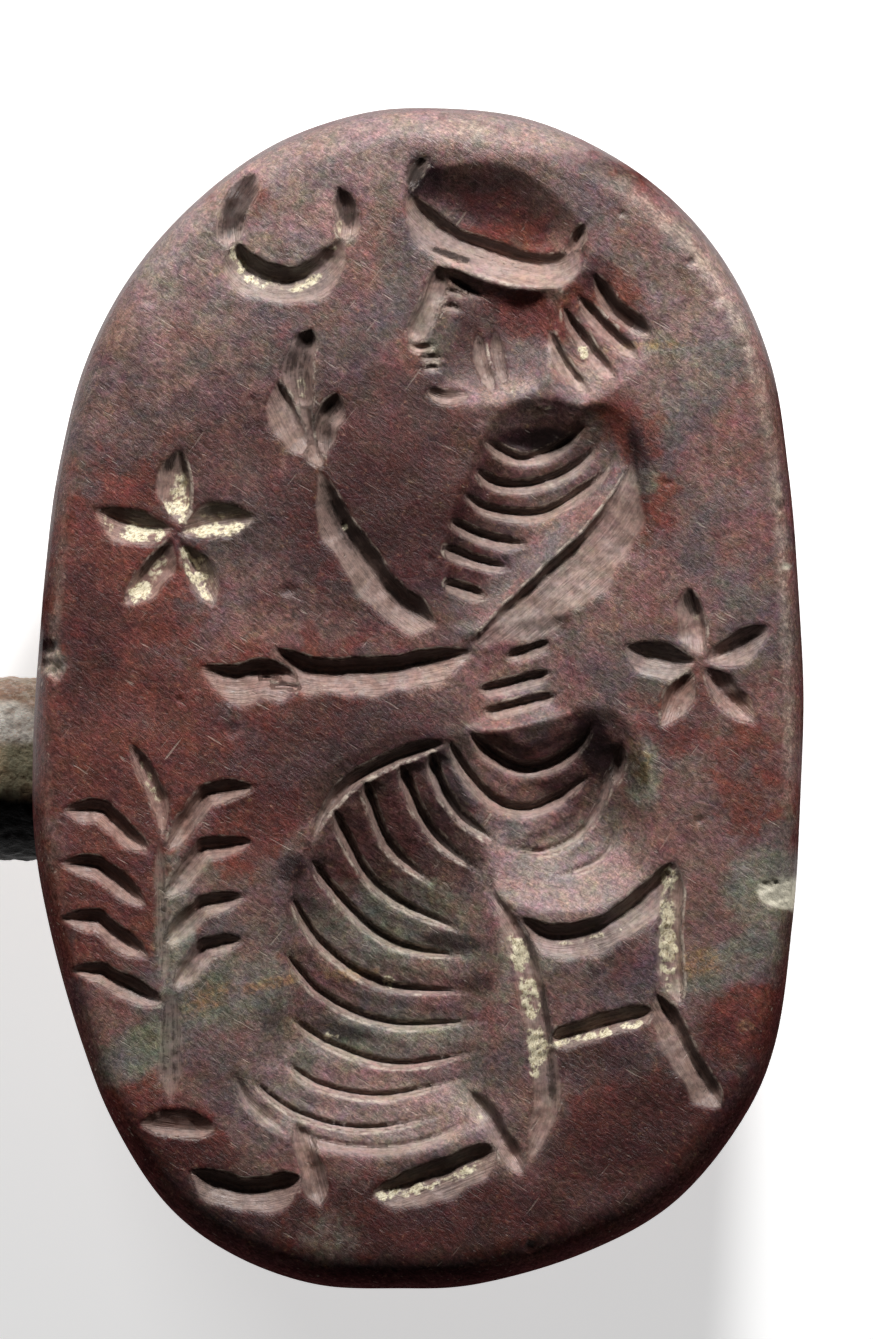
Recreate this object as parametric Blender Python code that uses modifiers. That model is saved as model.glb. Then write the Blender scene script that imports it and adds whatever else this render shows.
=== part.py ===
"""An oval stamp seal of mottled red jasper, lying on its domed back with the cut face up.

The face carries a seated figure between a crescent, two stars and a plant. A bronze pin fills the hole that
is drilled across the stone.
"""
import math

import bmesh
import bpy

# Driving sizes, in metres
STONE_LENGTH = 0.0270
STONE_WIDTH = 0.01764
STONE_THICKNESS = 0.0110
GIRDLE_HEIGHT = 0.0086
REST_FLAT_LENGTH = 0.0110
RIM_WIDTH = 0.0006
RIM_DROP = 0.0012
CARVING_DEPTH = 0.0009
PIN_DIAMETER = 0.0043
PIN_CLEARANCE = 0.0003
PIN_STANDOUT = 0.0014
PIN_END_RECESS = 0.0010
PIN_OFFSET = 0.00165
PIN_EDGE_BEVEL = 0.0002

# Finish of the solids
JASPER = (0.13, 0.055, 0.048, 1.0)
JASPER_ROUGHNESS = 0.4
BRONZE = (0.16, 0.12, 0.075, 1.0)
BRONZE_ROUGHNESS = 0.55
BRONZE_METALLIC = 0.7

# How finely round shapes are divided
OUTLINE_STEPS = 3
DOME_STEPS = 6
RIM_STEPS = 4
BOWL_OUTLINE_STEPS = 2
STRAIGHT_CUT_STEPS = 5
CURVED_CUT_STEPS = 3
PIN_SIDES = 32
PIN_BEVEL_STEPS = 2
SHARP_ANGLE = math.radians(40)

# The design is laid out on a drawing of the face, with x to the right and y down. The face is
# DRAWING_WIDTH by DRAWING_LENGTH of its units, about DRAWING_CENTRE.
DRAWING_LENGTH = 1186
DRAWING_WIDTH = 775
DRAWING_CENTRE = (417.5, 698)
DEEPEST = 40
OUTLINE = [
    (425, 105), (520, 114), (610, 151), (682, 206), (738, 280), (773, 366), (790, 466), (799, 566),
    (805, 700), (801, 830), (794, 926), (776, 1046), (740, 1126), (673, 1206), (583, 1256), (478, 1286),
    (400, 1291), (314, 1286), (230, 1256), (165, 1206), (113, 1126), (81, 1046), (48, 926), (33, 840),
    (31, 750), (38, 640), (44, 566), (57, 466), (82, 366), (125, 280), (188, 206), (267, 146), (350, 114),
]

# How far a cutter stands above the face, in units of the drawing, how far a cut's tips and edges rise
# above the surface they are cut from, as shares of its depth, and the rings of a bowl from its outline in
CUTTER_TOP = 4
TIP_RISE = 0.15
EDGE_RISE = 0.3
BOWL_RINGS = (1.08, 0.86, 0.62, 0.36, 0.12)


def place(x, y, height):
    """The point of the model at (x, y) of the drawing and at this height above the rest flat."""
    return (
        (x - DRAWING_CENTRE[0]) / DRAWING_WIDTH * STONE_WIDTH,
        (DRAWING_CENTRE[1] - y) / DRAWING_LENGTH * STONE_LENGTH,
        height,
    )


def face_height(depth):
    """The height of a point this many drawing units below the face."""
    return STONE_THICKNESS - depth / DEEPEST * CARVING_DEPTH


def curve_point(before, start, end, after, t):
    """A point on the smooth curve from start to end, whose neighbours are before and after."""
    return tuple(
        0.5 * (2 * b + (c - a) * t + (2 * a - 5 * b + 4 * c - d) * t ** 2 + (3 * b - a - 3 * c + d) * t ** 3)
        for a, b, c, d in zip(before, start, end, after)
    )


def closed_curve(points, steps):
    """A smooth closed curve through the points, with this many steps from each to the next."""
    count = len(points)
    return [
        curve_point(points[i - 1], points[i], points[(i + 1) % count], points[(i + 2) % count], step / steps)
        for i in range(count)
        for step in range(steps)
    ]


def open_curve(points, steps):
    """A smooth curve through the points, from the first to the last."""
    first = tuple(2 * a - b for a, b in zip(points[0], points[1]))
    last = tuple(2 * a - b for a, b in zip(points[-1], points[-2]))
    ends = [first, *points, last]
    line = [
        curve_point(*ends[i:i + 4], step / steps)
        for i in range(len(points) - 1)
        for step in range(steps)
    ]
    return line + [points[-1]]


def new_object(name, mesh, collection):
    item = bpy.data.objects.new(name, mesh)
    collection.objects.link(item)
    return item


def as_cutter(item):
    item.hide_render = True
    item.display_type = "WIRE"
    return item


def loft(name, rings, collection):
    """A closed body through rings with the same number of points, capped at both ends."""
    body = bmesh.new()
    rows = [[body.verts.new(point) for point in ring] for ring in rings]
    count = len(rows[0])
    for low, high in zip(rows, rows[1:]):
        for i in range(count):
            after = (i + 1) % count
            body.faces.new((low[i], low[after], high[after], high[i]))
    body.faces.new(rows[0])
    body.faces.new(rows[-1])
    bmesh.ops.recalc_face_normals(body, faces=body.faces)
    mesh = bpy.data.meshes.new(name)
    body.to_mesh(mesh)
    body.free()
    return new_object(name, mesh, collection)


# Bowls: the broad hollows under the forms

def bowl_reach(outline, deepest, x, y):
    """How far (x, y) lies from the deepest point, as a share of the way to the outline."""
    dx = x - deepest[0]
    dy = y - deepest[1]
    far = math.hypot(dx, dy)
    if far < 1e-6:
        return 0.0
    for (ax, ay), (bx, by) in zip(outline, outline[1:] + outline[:1]):
        ax, ay, bx, by = ax - deepest[0], ay - deepest[1], bx - deepest[0], by - deepest[1]
        cross = dx * (by - ay) - dy * (bx - ax)
        if abs(cross) < 1e-9:
            continue
        along = (ax * (by - ay) - ay * (bx - ax)) / cross
        across = (ax * dy - ay * dx) / cross
        if along > 0 and 0 <= across <= 1:
            return 1 / along
    return 2.0


def bowl_depth(bowl, x, y):
    outline, deepest, depth, fullness = bowl
    return depth * (1 - bowl_reach(outline, deepest, x, y) ** fullness)


def make_bowl(name, bowl, collection):
    """A cutter whose rings shrink from the outline towards the deepest point as they go down."""
    outline, deepest, depth, fullness = bowl
    edge = closed_curve(outline, BOWL_OUTLINE_STEPS)
    rings = []
    for reach in BOWL_RINGS:
        height = face_height(depth * (1 - reach ** fullness))
        rings.append([
            place(deepest[0] + (x - deepest[0]) * reach, deepest[1] + (y - deepest[1]) * reach, height)
            for x, y in edge
        ])
    return as_cutter(loft(name, rings, collection))


# Cuts: the tapered V-shaped strokes

def taper(t, start, end):
    """The share of its full depth that a cut has at t, from 0 to 1 along it."""
    rise = math.sin(math.pi / 2 * min(1, t / start))
    fall = math.sin(math.pi / 2 * min(1, (1 - t) / end))
    return min(rise, fall)


def make_cut(name, cut, bowls, collection):
    """A cutter shaped like a boat, with its keel along the points and walls of unlike widths."""
    points, left, right, depth, start, end = cut
    steps = STRAIGHT_CUT_STEPS if len(points) == 2 else CURVED_CUT_STEPS
    line = open_curve(points, steps)
    last = len(line) - 1
    rings = []
    for i, (x, y) in enumerate(line):
        ahead = line[min(i + 1, last)]
        behind = line[max(i - 1, 0)]
        dx, dy = ahead[0] - behind[0], ahead[1] - behind[1]
        size = math.hypot(dx, dy)
        across = (dy / size, -dx / size)
        share = taper(i / last, start, end) if 0 < i < last else -TIP_RISE
        floor = max([0] + [bowl_depth(bowl, x, y) for bowl in bowls])
        keel = face_height(floor + depth * share)
        edge = face_height(floor - depth * EDGE_RISE)
        top = face_height(-depth * EDGE_RISE - CUTTER_TOP)
        wide = share + EDGE_RISE
        left_x, left_y = x + across[0] * left * wide, y + across[1] * left * wide
        right_x, right_y = x - across[0] * right * wide, y - across[1] * right * wide
        rings.append([
            place(x, y, keel),
            place(left_x, left_y, edge),
            place(left_x, left_y, top),
            place(right_x, right_y, top),
            place(right_x, right_y, edge),
        ])
    return as_cutter(loft(name, rings, collection))


# The design. A bowl is (outline, deepest point, depth, fullness). A cut is (points, width of its left
# wall, width of its right wall, depth, share of its length in which it deepens, share in which it rises).

def crescent():
    left_horn = ([(258, 170), (240, 196), (229, 220), (230, 250)], 17, 15, 14, 0.35, 0.25)
    hollow = ([(232, 240), (246, 266), (268, 279), (291, 281), (314, 274), (333, 256), (345, 232)],
              16, 23, 18, 0.3, 0.35)
    right_horn = ([(337, 186), (343, 212), (342, 244)], 17, 10, 13, 0.4, 0.35)
    return [], [left_horn, hollow, right_horn]


def headdress():
    crown = ([(404, 196), (418, 176), (440, 166), (480, 162), (515, 168), (548, 188), (578, 220),
              (590, 246), (578, 272), (545, 288), (505, 286), (468, 272), (430, 248), (406, 224)],
             (506, 248), 30, 2)
    brim = ([(407, 186), (422, 212), (452, 235), (496, 252), (536, 263), (562, 262), (581, 245)],
            11, 31, 13, 0.25, 0.2)
    front_tip = ([(408, 192), (417, 170), (430, 156)], 7, 9, 9, 0.4, 0.4)
    back_tip = ([(564, 260), (577, 241), (587, 221)], 7, 7, 9, 0.35, 0.4)
    bands = [([(424, 245), (450, 254), (478, 264)], 5, 6, 7, 0.4, 0.4),
             ([(446, 275), (464, 285), (486, 299)], 4, 5, 5, 0.4, 0.4)]
    return [crown], [brim, front_tip, back_tip, *bands]


def head():
    face = ([(433, 268), (470, 272), (520, 285), (560, 290), (566, 330), (550, 372), (520, 398),
             (480, 404), (446, 396), (434, 372), (430, 330), (430, 300)], (512, 318), 22, 2.5)
    brow_to_nose = ([(440, 264), (428, 300), (408, 344)], 16, 9, 10, 0.3, 0.2)
    under_nose = ([(406, 342), (420, 348), (438, 344)], 5, 7, 6, 0.3, 0.5)
    upper_lip = ([(419, 359), (432, 357), (446, 360)], 4, 5, 6, 0.2, 0.5)
    lower_lip = ([(421, 369), (433, 367), (445, 369)], 3, 6, 5, 0.2, 0.5)
    chin = ([(424, 390), (445, 398), (474, 396)], 10, 8, 8, 0.3, 0.5)
    eye = ([(437, 312), (450, 306), (466, 313)], 4, 6, 6, 0.5, 0.5)
    brow = ([(432, 298), (450, 291), (474, 298)], 3, 5, 4, 0.4, 0.5)
    side_locks = [([(477, 330), (482, 362), (494, 396)], 8, 9, 7, 0.35, 0.3),
                  ([(494, 328), (499, 360), (507, 390)], 7, 8, 7, 0.35, 0.35)]
    return [face], [brow_to_nose, under_nose, upper_lip, lower_lip, chin, eye, brow, *side_locks]


def hair():
    """The locks that fan out behind the head, longest and widest at the back."""
    mass = ([(562, 292), (590, 270), (618, 300), (655, 337), (645, 362), (620, 384), (582, 405),
             (556, 392), (541, 362), (545, 322)], (594, 330), 12, 3)
    locks = [((592, 272), (614, 308), (653, 338), 12), ((574, 292), (600, 322), (641, 361), 8),
             ((561, 304), (584, 340), (619, 382), 7), ((548, 326), (563, 360), (589, 395), 6)]
    return [mass], [([root, middle, tip], wide, 11, 10, 0.35, 0.25) for root, middle, tip, wide in locks]


def torso():
    neck = ([(484, 441), (494, 420), (514, 404), (545, 398), (576, 404), (592, 420), (590, 444),
             (560, 460), (526, 464), (500, 456)], (540, 448), 22, 1.5)
    chest = ([(484, 441), (540, 424), (596, 402), (624, 414), (640, 446), (636, 472), (604, 514),
              (546, 570), (486, 626), (456, 632), (442, 606), (440, 560), (452, 510), (470, 465)],
             (582, 462), 22, 2.2)
    pleats = [
        [(484, 440), (520, 458), (556, 448), (588, 424)],
        [(473, 469), (502, 485), (545, 481), (580, 463), (602, 438)],
        [(461, 493), (492, 510), (540, 513), (578, 494), (604, 473), (617, 450)],
        [(449, 520), (485, 537), (530, 546)],
        [(442, 547), (475, 560), (512, 569)],
        [(443, 583), (466, 589), (489, 598)],
    ]
    return [neck, chest], [(pleat, 6, 11, 9, 0.15, 0.35) for pleat in pleats]


def arms():
    upper_arm = ([(466, 648), (530, 590), (600, 522), (636, 456)],
                 8, 52, 18, 0.35, 0.4)
    raised_forearm = ([(316, 464), (337, 515), (366, 560), (397, 598), (438, 627)],
                      14, 27, 16, 0.4, 0.15)
    raised_wrist = ([(300, 390), (308, 428), (322, 470)], 9, 13, 12, 0.3, 0.25)
    fingers = [([(312, 328), (300, 370), (306, 424)], 13, 18, 15, 0.2, 0.35),
               ([(338, 392), (320, 424), (318, 462)], 20, 9, 13, 0.25, 0.35)]
    raised_palm = ([(276, 378), (289, 404), (301, 430), (316, 456)], 8, 27, 14, 0.35, 0.3)
    level_forearm = ([(268, 646), (312, 668), (390, 667), (480, 650)], 12, 28, 16, 0.25, 0.3)
    level_hand = ([(195, 666), (235, 674), (270, 670), (306, 680)], 11, 34, 15, 0.35, 0.35)
    thumb = [([(252, 678), (268, 677), (286, 681)], 4, 5, 5, 0.4, 0.4),
             ([(262, 687), (280, 684), (304, 687)], 4, 5, 5, 0.4, 0.4)]
    raised_hand = [raised_wrist, *fingers, raised_palm]
    return [], [upper_arm, raised_forearm, *raised_hand, level_forearm, level_hand, *thumb]


def belt():
    panel = ([(460, 642), (500, 626), (556, 616), (574, 622), (574, 700), (562, 716), (480, 729),
              (462, 706)], (522, 694), 12, 4)
    folds = [([(504, 658), (550, 641)], 5, 12, 8, 0.25, 0.2),
             ([(475, 691), (552, 672)], 5, 14, 9, 0.2, 0.2),
             ([(480, 713), (558, 694)], 5, 13, 9, 0.2, 0.2)]
    return [panel], folds


def hip():
    seat_of_figure = ([(452, 738), (500, 732), (556, 714), (606, 708), (636, 735), (652, 790), (655, 850),
                       (625, 895), (575, 912), (520, 906), (480, 882), (455, 835), (440, 780)],
                      (588, 812), 35, 1.5)
    folds = [
        ([(467, 731), (492, 753), (520, 768), (552, 763), (582, 742), (594, 720)], 7, 12, 10, 0.2, 0.35),
        ([(446, 738), (468, 774), (498, 803), (528, 809), (560, 796), (596, 772)], 6, 12, 9, 0.2, 0.35),
        ([(502, 847), (550, 850), (594, 816), (620, 740)], 4, 6, 6, 0.25, 0.3),
        ([(558, 878), (582, 868), (604, 855), (622, 818)], 3, 5, 5, 0.3, 0.5),
    ]
    shadowed_fold = ([(612, 790), (619, 768), (622, 742)], 8, 7, 7, 0.4, 0.4)
    return [seat_of_figure], [*folds, shadowed_fold]


def skirt():
    cloth = ([(288, 890), (322, 812), (345, 783), (385, 757), (440, 737), (470, 762), (490, 820),
              (500, 880), (501, 1020), (493, 1100), (470, 1136), (400, 1154), (330, 1154), (288, 1138),
              (260, 1112), (244, 1082), (256, 1045), (272, 1000), (281, 940)], (405, 975), 34, 2.4)
    top_edge = ([(312, 846), (326, 812), (352, 784), (394, 760), (449, 742)], 10, 6, 10, 0.35, 0.25)
    hem_corner = ([(230, 1070), (250, 1104), (290, 1140)], 9, 7, 4, 0.4, 0.4)
    hem = ([(290, 1130), (345, 1146), (410, 1145), (474, 1120)], 4, 13, 4, 0.2, 0.25)
    pleats = [
        [(431, 752), (441, 784), (462, 815), (502, 848)],
        [(400, 764), (430, 828), (482, 875)],
        [(364, 780), (388, 842), (436, 888)],
        [(332, 808), (378, 886), (472, 937)],
        [(310, 858), (344, 902), (395, 943), (477, 959)],
        [(290, 896), (323, 945), (384, 984), (480, 993)],
        [(284, 952), (322, 994), (390, 1023), (492, 1021)],
        [(290, 1018), (335, 1046), (400, 1064), (488, 1050)],
        [(283, 1062), (325, 1086), (385, 1095), (472, 1077)],
        [(250, 1079), (300, 1114), (370, 1128), (460, 1111)],
    ]
    depths = [11 - 0.5 * place for place in range(len(pleats))]
    pleat_cuts = [(pleat, 0.5 * depth, 0.9 * depth, depth, 0.12, 0.45)
                  for pleat, depth in zip(pleats, depths)]
    return [cloth], [top_edge, hem_corner, hem, *pleat_cuts]


def feet():
    front_foot = ([(188, 1171), (225, 1185), (262, 1189), (303, 1178)], 12, 25, 15, 0.3, 0.2)
    front_ankle = ([(296, 1122), (307, 1158), (320, 1208)], 15, 13, 11, 0.3, 0.25)
    back_foot = ([(368, 1196), (410, 1184), (452, 1168), (500, 1148)], 14, 28, 15, 0.3, 0.2)
    back_ankle = ([(466, 1090), (488, 1116), (506, 1146), (524, 1176)], 12, 14, 11, 0.3, 0.25)
    return [], [front_foot, front_ankle, back_foot, back_ankle]


def stool():
    seat = ([(513, 916), (556, 936), (602, 926), (642, 900), (680, 858)], 12, 26, 15, 0.25, 0.2)
    left_leg = ([(484, 882), (522, 944), (540, 1025), (548, 1104), (525, 1170)],
                13, 19, 10, 0.3, 0.25)
    right_leg_top = ([(679, 862), (676, 915), (676, 960), (681, 1006)], 7, 21, 12, 0.25, 0.2)
    right_leg_foot = ([(654, 992), (675, 1028), (696, 1068), (722, 1110)], 11, 23, 13, 0.25, 0.2)
    crossbar = ([(547, 1043), (600, 1028), (657, 1011)], 14, 12, 12, 0.15, 0.2)
    return [], [seat, left_leg, right_leg_top, right_leg_foot, crossbar]


def plant():
    """A stem with a blade at its top, four bent leaves on each side and a stroke for the ground."""
    blade = ([(126, 740), (146, 774), (159, 806), (162, 842)], 11, 9, 10, 0.35, 0.4)
    stem = ([(158, 836), (161, 900), (164, 990)], 9, 8, 5, 0.25, 0.25)
    trunk = ([(172, 985), (170, 1040), (170, 1106)], 15, 15, 6, 0.4, 0.3)
    ground = ([(136, 1124), (172, 1129), (218, 1131)], 20, 9, 11, 0.4, 0.3)
    left_leaves = [[(60, 810), (98, 811), (108, 817), (150, 854)],
                   [(58, 864), (94, 865), (104, 871), (148, 908)],
                   [(59, 919), (94, 920), (104, 926), (150, 959)],
                   [(69, 971), (100, 972), (112, 979), (167, 1006)]]
    right_leaves = [[(166, 853), (201, 801), (211, 793), (258, 787)],
                    [(160, 903), (199, 855), (209, 848), (255, 842)],
                    [(157, 951), (197, 911), (207, 904), (248, 897)],
                    [(172, 993), (200, 954), (210, 946), (244, 940)]]
    leaves = [(leaf, 11, 14, 12, 0.3, 0.3) for leaf in left_leaves + right_leaves]
    return [], [blade, stem, trunk, ground, *leaves]


def stars():
    """Two stars of five rays. A ray is its keel, from the middle out, and the widths of its walls."""
    left_star = [
        ([(183, 528), (186, 490), (181, 445)], 31, 6),
        ([(174, 529), (136, 526), (93, 508)], 22, 16),
        ([(179, 534), (215, 524), (258, 519)], 21, 16),
        ([(172, 540), (151, 570), (121, 606)], 23, 12),
        ([(180, 544), (196, 571), (214, 608)], 18, 12),
    ]
    right_star = [
        ([(704, 656), (699, 620), (690, 584)], 26, 7),
        ([(697, 662), (658, 658), (623, 645)], 24, 16),
        ([(705, 661), (734, 650), (772, 627)], 16, 17),
        ([(694, 668), (675, 692), (660, 728)], 21, 9),
        ([(703, 668), (725, 696), (756, 726)], 19, 12),
    ]
    return [], [(keel, left, right, 14, 0.4, 0.45) for keel, left, right in left_star + right_star]


MOTIFS = (crescent, headdress, head, hair, torso, arms, belt, hip, skirt, feet, stool, plant, stars)


# The pieces

def material(name, colour, roughness, metallic):
    finish = bpy.data.materials.new(name)
    finish.use_nodes = True
    shader = finish.node_tree.nodes["Principled BSDF"]
    shader.inputs["Base Color"].default_value = colour
    shader.inputs["Roughness"].default_value = roughness
    shader.inputs["Metallic"].default_value = metallic
    return finish


def stone_rings():
    """The share of the plan and the height of each ring, from the rest flat up to the face."""
    rest_share = REST_FLAT_LENGTH / STONE_LENGTH
    rim_share = RIM_WIDTH / (STONE_WIDTH / 2)
    rings = []
    for step in range(DOME_STEPS + 1):
        turn = math.pi / 2 * step / DOME_STEPS
        share = rest_share + (1 - rest_share) * math.sin(turn)
        rings.append((share, GIRDLE_HEIGHT * (1 - math.cos(turn))))
    for step in range(RIM_STEPS + 1):
        turn = math.pi / 2 * step / RIM_STEPS
        share = 1 - rim_share * (1 - math.cos(turn))
        rings.append((share, STONE_THICKNESS - RIM_DROP * (1 - math.sin(turn))))
    return rings


def make_stone(collection):
    """The stone: rings of one outline, from the rest flat through the dome and girdle to the face."""
    outline = closed_curve(OUTLINE, OUTLINE_STEPS)
    centre_x, centre_y = DRAWING_CENTRE
    rings = [
        [place(centre_x + (x - centre_x) * share, centre_y + (y - centre_y) * share, height)
         for x, y in outline]
        for share, height in stone_rings()
    ]
    stone = loft("seal_stone", rings, collection)
    stone.data.materials.append(material("red_jasper", JASPER, JASPER_ROUGHNESS, 0.0))
    return stone


def bar_along_x(name, radius, low_x, high_x, collection):
    """A round bar along X at the height and place of the hole."""
    bar = bmesh.new()
    bmesh.ops.create_cone(
        bar, cap_ends=True, segments=PIN_SIDES, radius1=radius, radius2=radius, depth=high_x - low_x
    )
    mesh = bpy.data.meshes.new(name)
    bar.to_mesh(mesh)
    bar.free()
    item = new_object(name, mesh, collection)
    item.rotation_euler = (0, math.pi / 2, 0)
    item.location = ((low_x + high_x) / 2, -PIN_OFFSET, STONE_THICKNESS / 2)
    return item


def make_hole_cutter(collection):
    reach = STONE_WIDTH
    return as_cutter(
        bar_along_x("hole_cutter", PIN_DIAMETER / 2 + PIN_CLEARANCE, -reach, reach, collection)
    )


def make_pin(collection):
    """The bronze pin: it stands out on the left and ends just inside the stone on the right."""
    pin = bar_along_x(
        "suspension_pin",
        PIN_DIAMETER / 2,
        -STONE_WIDTH / 2 - PIN_STANDOUT,
        STONE_WIDTH / 2 - PIN_END_RECESS,
        collection,
    )
    edge = pin.modifiers.new("soft ends", "BEVEL")
    edge.width = PIN_EDGE_BEVEL
    edge.segments = PIN_BEVEL_STEPS
    pin.data.materials.append(material("aged_bronze", BRONZE, BRONZE_ROUGHNESS, BRONZE_METALLIC))
    pin.data.shade_smooth()
    pin.data.set_sharp_from_angle(angle=SHARP_ANGLE)
    return pin


def make_carving(collection):
    """Every cutter of the design: all the bowls, and the cuts sunk from the floor of the bowls."""
    drawn = [(motif.__name__, *motif()) for motif in MOTIFS]
    every_bowl = [bowl for _, bowls, _ in drawn for bowl in bowls]
    for name, bowls, cuts in drawn:
        for i, bowl in enumerate(bowls):
            make_bowl(f"{name}_bowl_{i + 1}", bowl, collection)
        for i, cut in enumerate(cuts):
            make_cut(f"{name}_cut_{i + 1}", cut, every_bowl, collection)


def subtract(item, name, cutter=None, cutters=None):
    cut = item.modifiers.new(name, "BOOLEAN")
    cut.operation = "DIFFERENCE"
    cut.solver = "EXACT"
    if cutters:
        cut.operand_type = "COLLECTION"
        cut.collection = cutters
    else:
        cut.object = cutter


def new_collection(name):
    collection = bpy.data.collections.new(name)
    bpy.context.scene.collection.children.link(collection)
    return collection


def main():
    for item in list(bpy.data.objects):
        bpy.data.objects.remove(item, do_unlink=True)
    pieces = new_collection("stamp_seal")
    drills = new_collection("drills")
    carving = new_collection("carving_cutters")
    stone = make_stone(pieces)
    make_pin(pieces)
    subtract(stone, "cross hole", cutter=make_hole_cutter(drills))
    make_carving(carving)
    subtract(stone, "carving", cutters=carving)


main()
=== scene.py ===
"""Looks for the stamp seal: the cut jasper, the corroded bronze pin, the floor, the light and the camera."""
import math

import bpy
import numpy as np
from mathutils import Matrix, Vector, noise
from mathutils.geometry import delaunay_2d_cdt


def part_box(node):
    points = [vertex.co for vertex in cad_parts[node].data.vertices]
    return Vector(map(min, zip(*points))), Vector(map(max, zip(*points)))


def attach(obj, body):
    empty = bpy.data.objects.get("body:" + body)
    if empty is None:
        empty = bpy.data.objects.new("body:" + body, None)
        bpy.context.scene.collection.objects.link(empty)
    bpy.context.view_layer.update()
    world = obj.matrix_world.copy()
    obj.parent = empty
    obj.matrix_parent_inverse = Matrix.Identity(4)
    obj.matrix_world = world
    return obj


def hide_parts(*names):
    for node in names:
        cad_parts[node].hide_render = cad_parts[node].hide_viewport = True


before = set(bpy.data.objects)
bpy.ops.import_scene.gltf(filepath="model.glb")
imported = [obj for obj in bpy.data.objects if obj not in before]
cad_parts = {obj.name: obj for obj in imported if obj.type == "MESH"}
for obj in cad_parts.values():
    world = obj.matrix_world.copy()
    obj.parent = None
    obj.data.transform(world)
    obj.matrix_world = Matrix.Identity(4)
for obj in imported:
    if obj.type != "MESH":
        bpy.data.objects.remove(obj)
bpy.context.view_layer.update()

# Sizes in metres. The box of each node gives the rest.
STONE_HIGH = np.array(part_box("seal_stone")[1])
PIN_LOW, PIN_HIGH = (np.array(corner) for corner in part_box("suspension_pin"))
STONE_WIDTH = 0.01764
STONE_LENGTH = 0.0270
GIRDLE_HEIGHT = 0.0086
REST_LENGTH = 0.0110
REST_SHARE = REST_LENGTH / STONE_LENGTH
RIM_INSET = 0.0006
RIM_SHARE = RIM_INSET / (STONE_WIDTH / 2)
RIM_DROP = 0.0012
# The rim value, which carries the painted shade of the rim, falls down the side between these heights
RIM_FADE = (0.0050, GIRDLE_HEIGHT)
FACE_FADE = 0.0002
CARVING_DEPTH = 0.0009
PIN_AXIS = (PIN_LOW + PIN_HIGH) / 2
PIN_RADIUS = (PIN_HIGH[2] - PIN_LOW[2]) / 2
PIN_BEVEL = 0.0003
PIN_CLEARANCE = 0.0003
# The rings of the pin are closest together over this length at the end that shows.
PIN_SHOWN = 0.0033
PIN_SIDES = 160
DRILL_SIDES = 96
# The corrosion of the pin, and the black painted shade on its lower side. Turns are round it in degrees, from
# its top towards the top of the face.
CRUST_TURNS = (17, 150)
SHADE_TURNS = (-165, -8)
EATEN_BARE, EATEN_SLOW, EATEN_FAST = 0.00004, 0.00005, 0.000035
END_SLOW, END_FAST = 0.00014, 0.00006

# The drawing of the face, in its own units, with x to the right and y down
DRAWING_CENTRE = np.array([417.5, 698.0])
DRAWING_WIDTH = 775
DRAWING_LENGTH = 1186
UNIT = np.array([STONE_WIDTH / DRAWING_WIDTH, -STONE_LENGTH / DRAWING_LENGTH])
DEEPEST = 40
DEPTH_UNIT = CARVING_DEPTH / DEEPEST
OUTLINE = [
    (425, 105), (520, 114), (610, 151), (682, 206), (738, 280), (773, 366), (790, 466), (799, 566),
    (805, 700), (801, 830), (794, 926), (776, 1046), (740, 1126), (673, 1206), (583, 1256), (478, 1286),
    (400, 1291), (314, 1286), (230, 1256), (165, 1206), (113, 1126), (81, 1046), (48, 926), (33, 840),
    (31, 750), (38, 640), (44, 566), (57, 466), (82, 366), (125, 280), (188, 206), (267, 146), (350, 114),
]

# The mesh of the stone, in units of the drawing unless said
MAP_SIZE = (1320, 850)
FACE_BOX = ((20, 90), (820, 1310))
FINE_STEP = 2.5
COARSE_STEP = 6.0
KEEL_STEP = 2.0
CURVE_STEPS = 10
BOWL_STEPS = 8
OUTLINE_STEPS = 12
OUTLINE_POINTS = 540
RIM_RINGS = 6
BACK_RINGS = 26
REST_RINGS = (0.75, 0.5, 0.25)
RIM_TURN = math.radians(35)
SEED = 11
# The slow waves over the body of the stone: their number, lengths in metres, depth as a share of the stone's
# width, and how far below the face they are at their full depth
WAVES = 7
WAVE_LENGTHS = (0.0025, 0.007)
WAVE_DEPTH = 0.006
WAVE_FADE = 0.002


# Smooth curves

def curve_point(before, start, end, after, t):
    """A point on the smooth curve from start to end, whose neighbours are before and after."""
    return 0.5 * (2 * start + (end - before) * t + (2 * before - 5 * start + 4 * end - after) * t ** 2
                  + (3 * start - before - 3 * end + after) * t ** 3)


def smooth(points, steps, closed=False):
    """The points of a smooth curve through some points, with this many steps between two of them."""
    points = np.array(points, float)
    if closed:
        ends = np.vstack([points[-1:], points, points[:2]])
    else:
        ends = np.vstack([2 * points[0] - points[1], points, 2 * points[-1] - points[-2]])
    line = [curve_point(*ends[i:i + 4], step / steps) for i in range(len(ends) - 3) for step in range(steps)]
    return np.array(line if closed else line + [points[-1]])


def evenly(line, count, closed=False):
    """The same line with its points spread evenly along it."""
    if closed:
        line = np.vstack([line, line[:1]])
    along = np.concatenate([[0], np.cumsum(np.hypot(*np.diff(line, axis=0).T))])
    at = np.linspace(0, along[-1], count, endpoint=not closed)
    return np.column_stack([np.interp(at, along, line[:, 0]), np.interp(at, along, line[:, 1])])


# The design. A bowl is (outline, deepest point, depth, fullness). A cut is (points, width of its left
# wall, width of its right wall, depth, share of its length in which it deepens, share in which it rises).

def crescent():
    left_horn = ([(258, 170), (240, 196), (229, 220), (230, 250)], 17, 15, 14, 0.35, 0.25)
    hollow = ([(232, 240), (246, 266), (268, 279), (291, 281), (314, 274), (333, 256), (345, 232)],
              16, 25, 18, 0.2, 0.35)
    right_horn = ([(337, 186), (343, 212), (342, 244)], 17, 10, 13, 0.4, 0.35)
    return [], [left_horn, hollow, right_horn]


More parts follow.
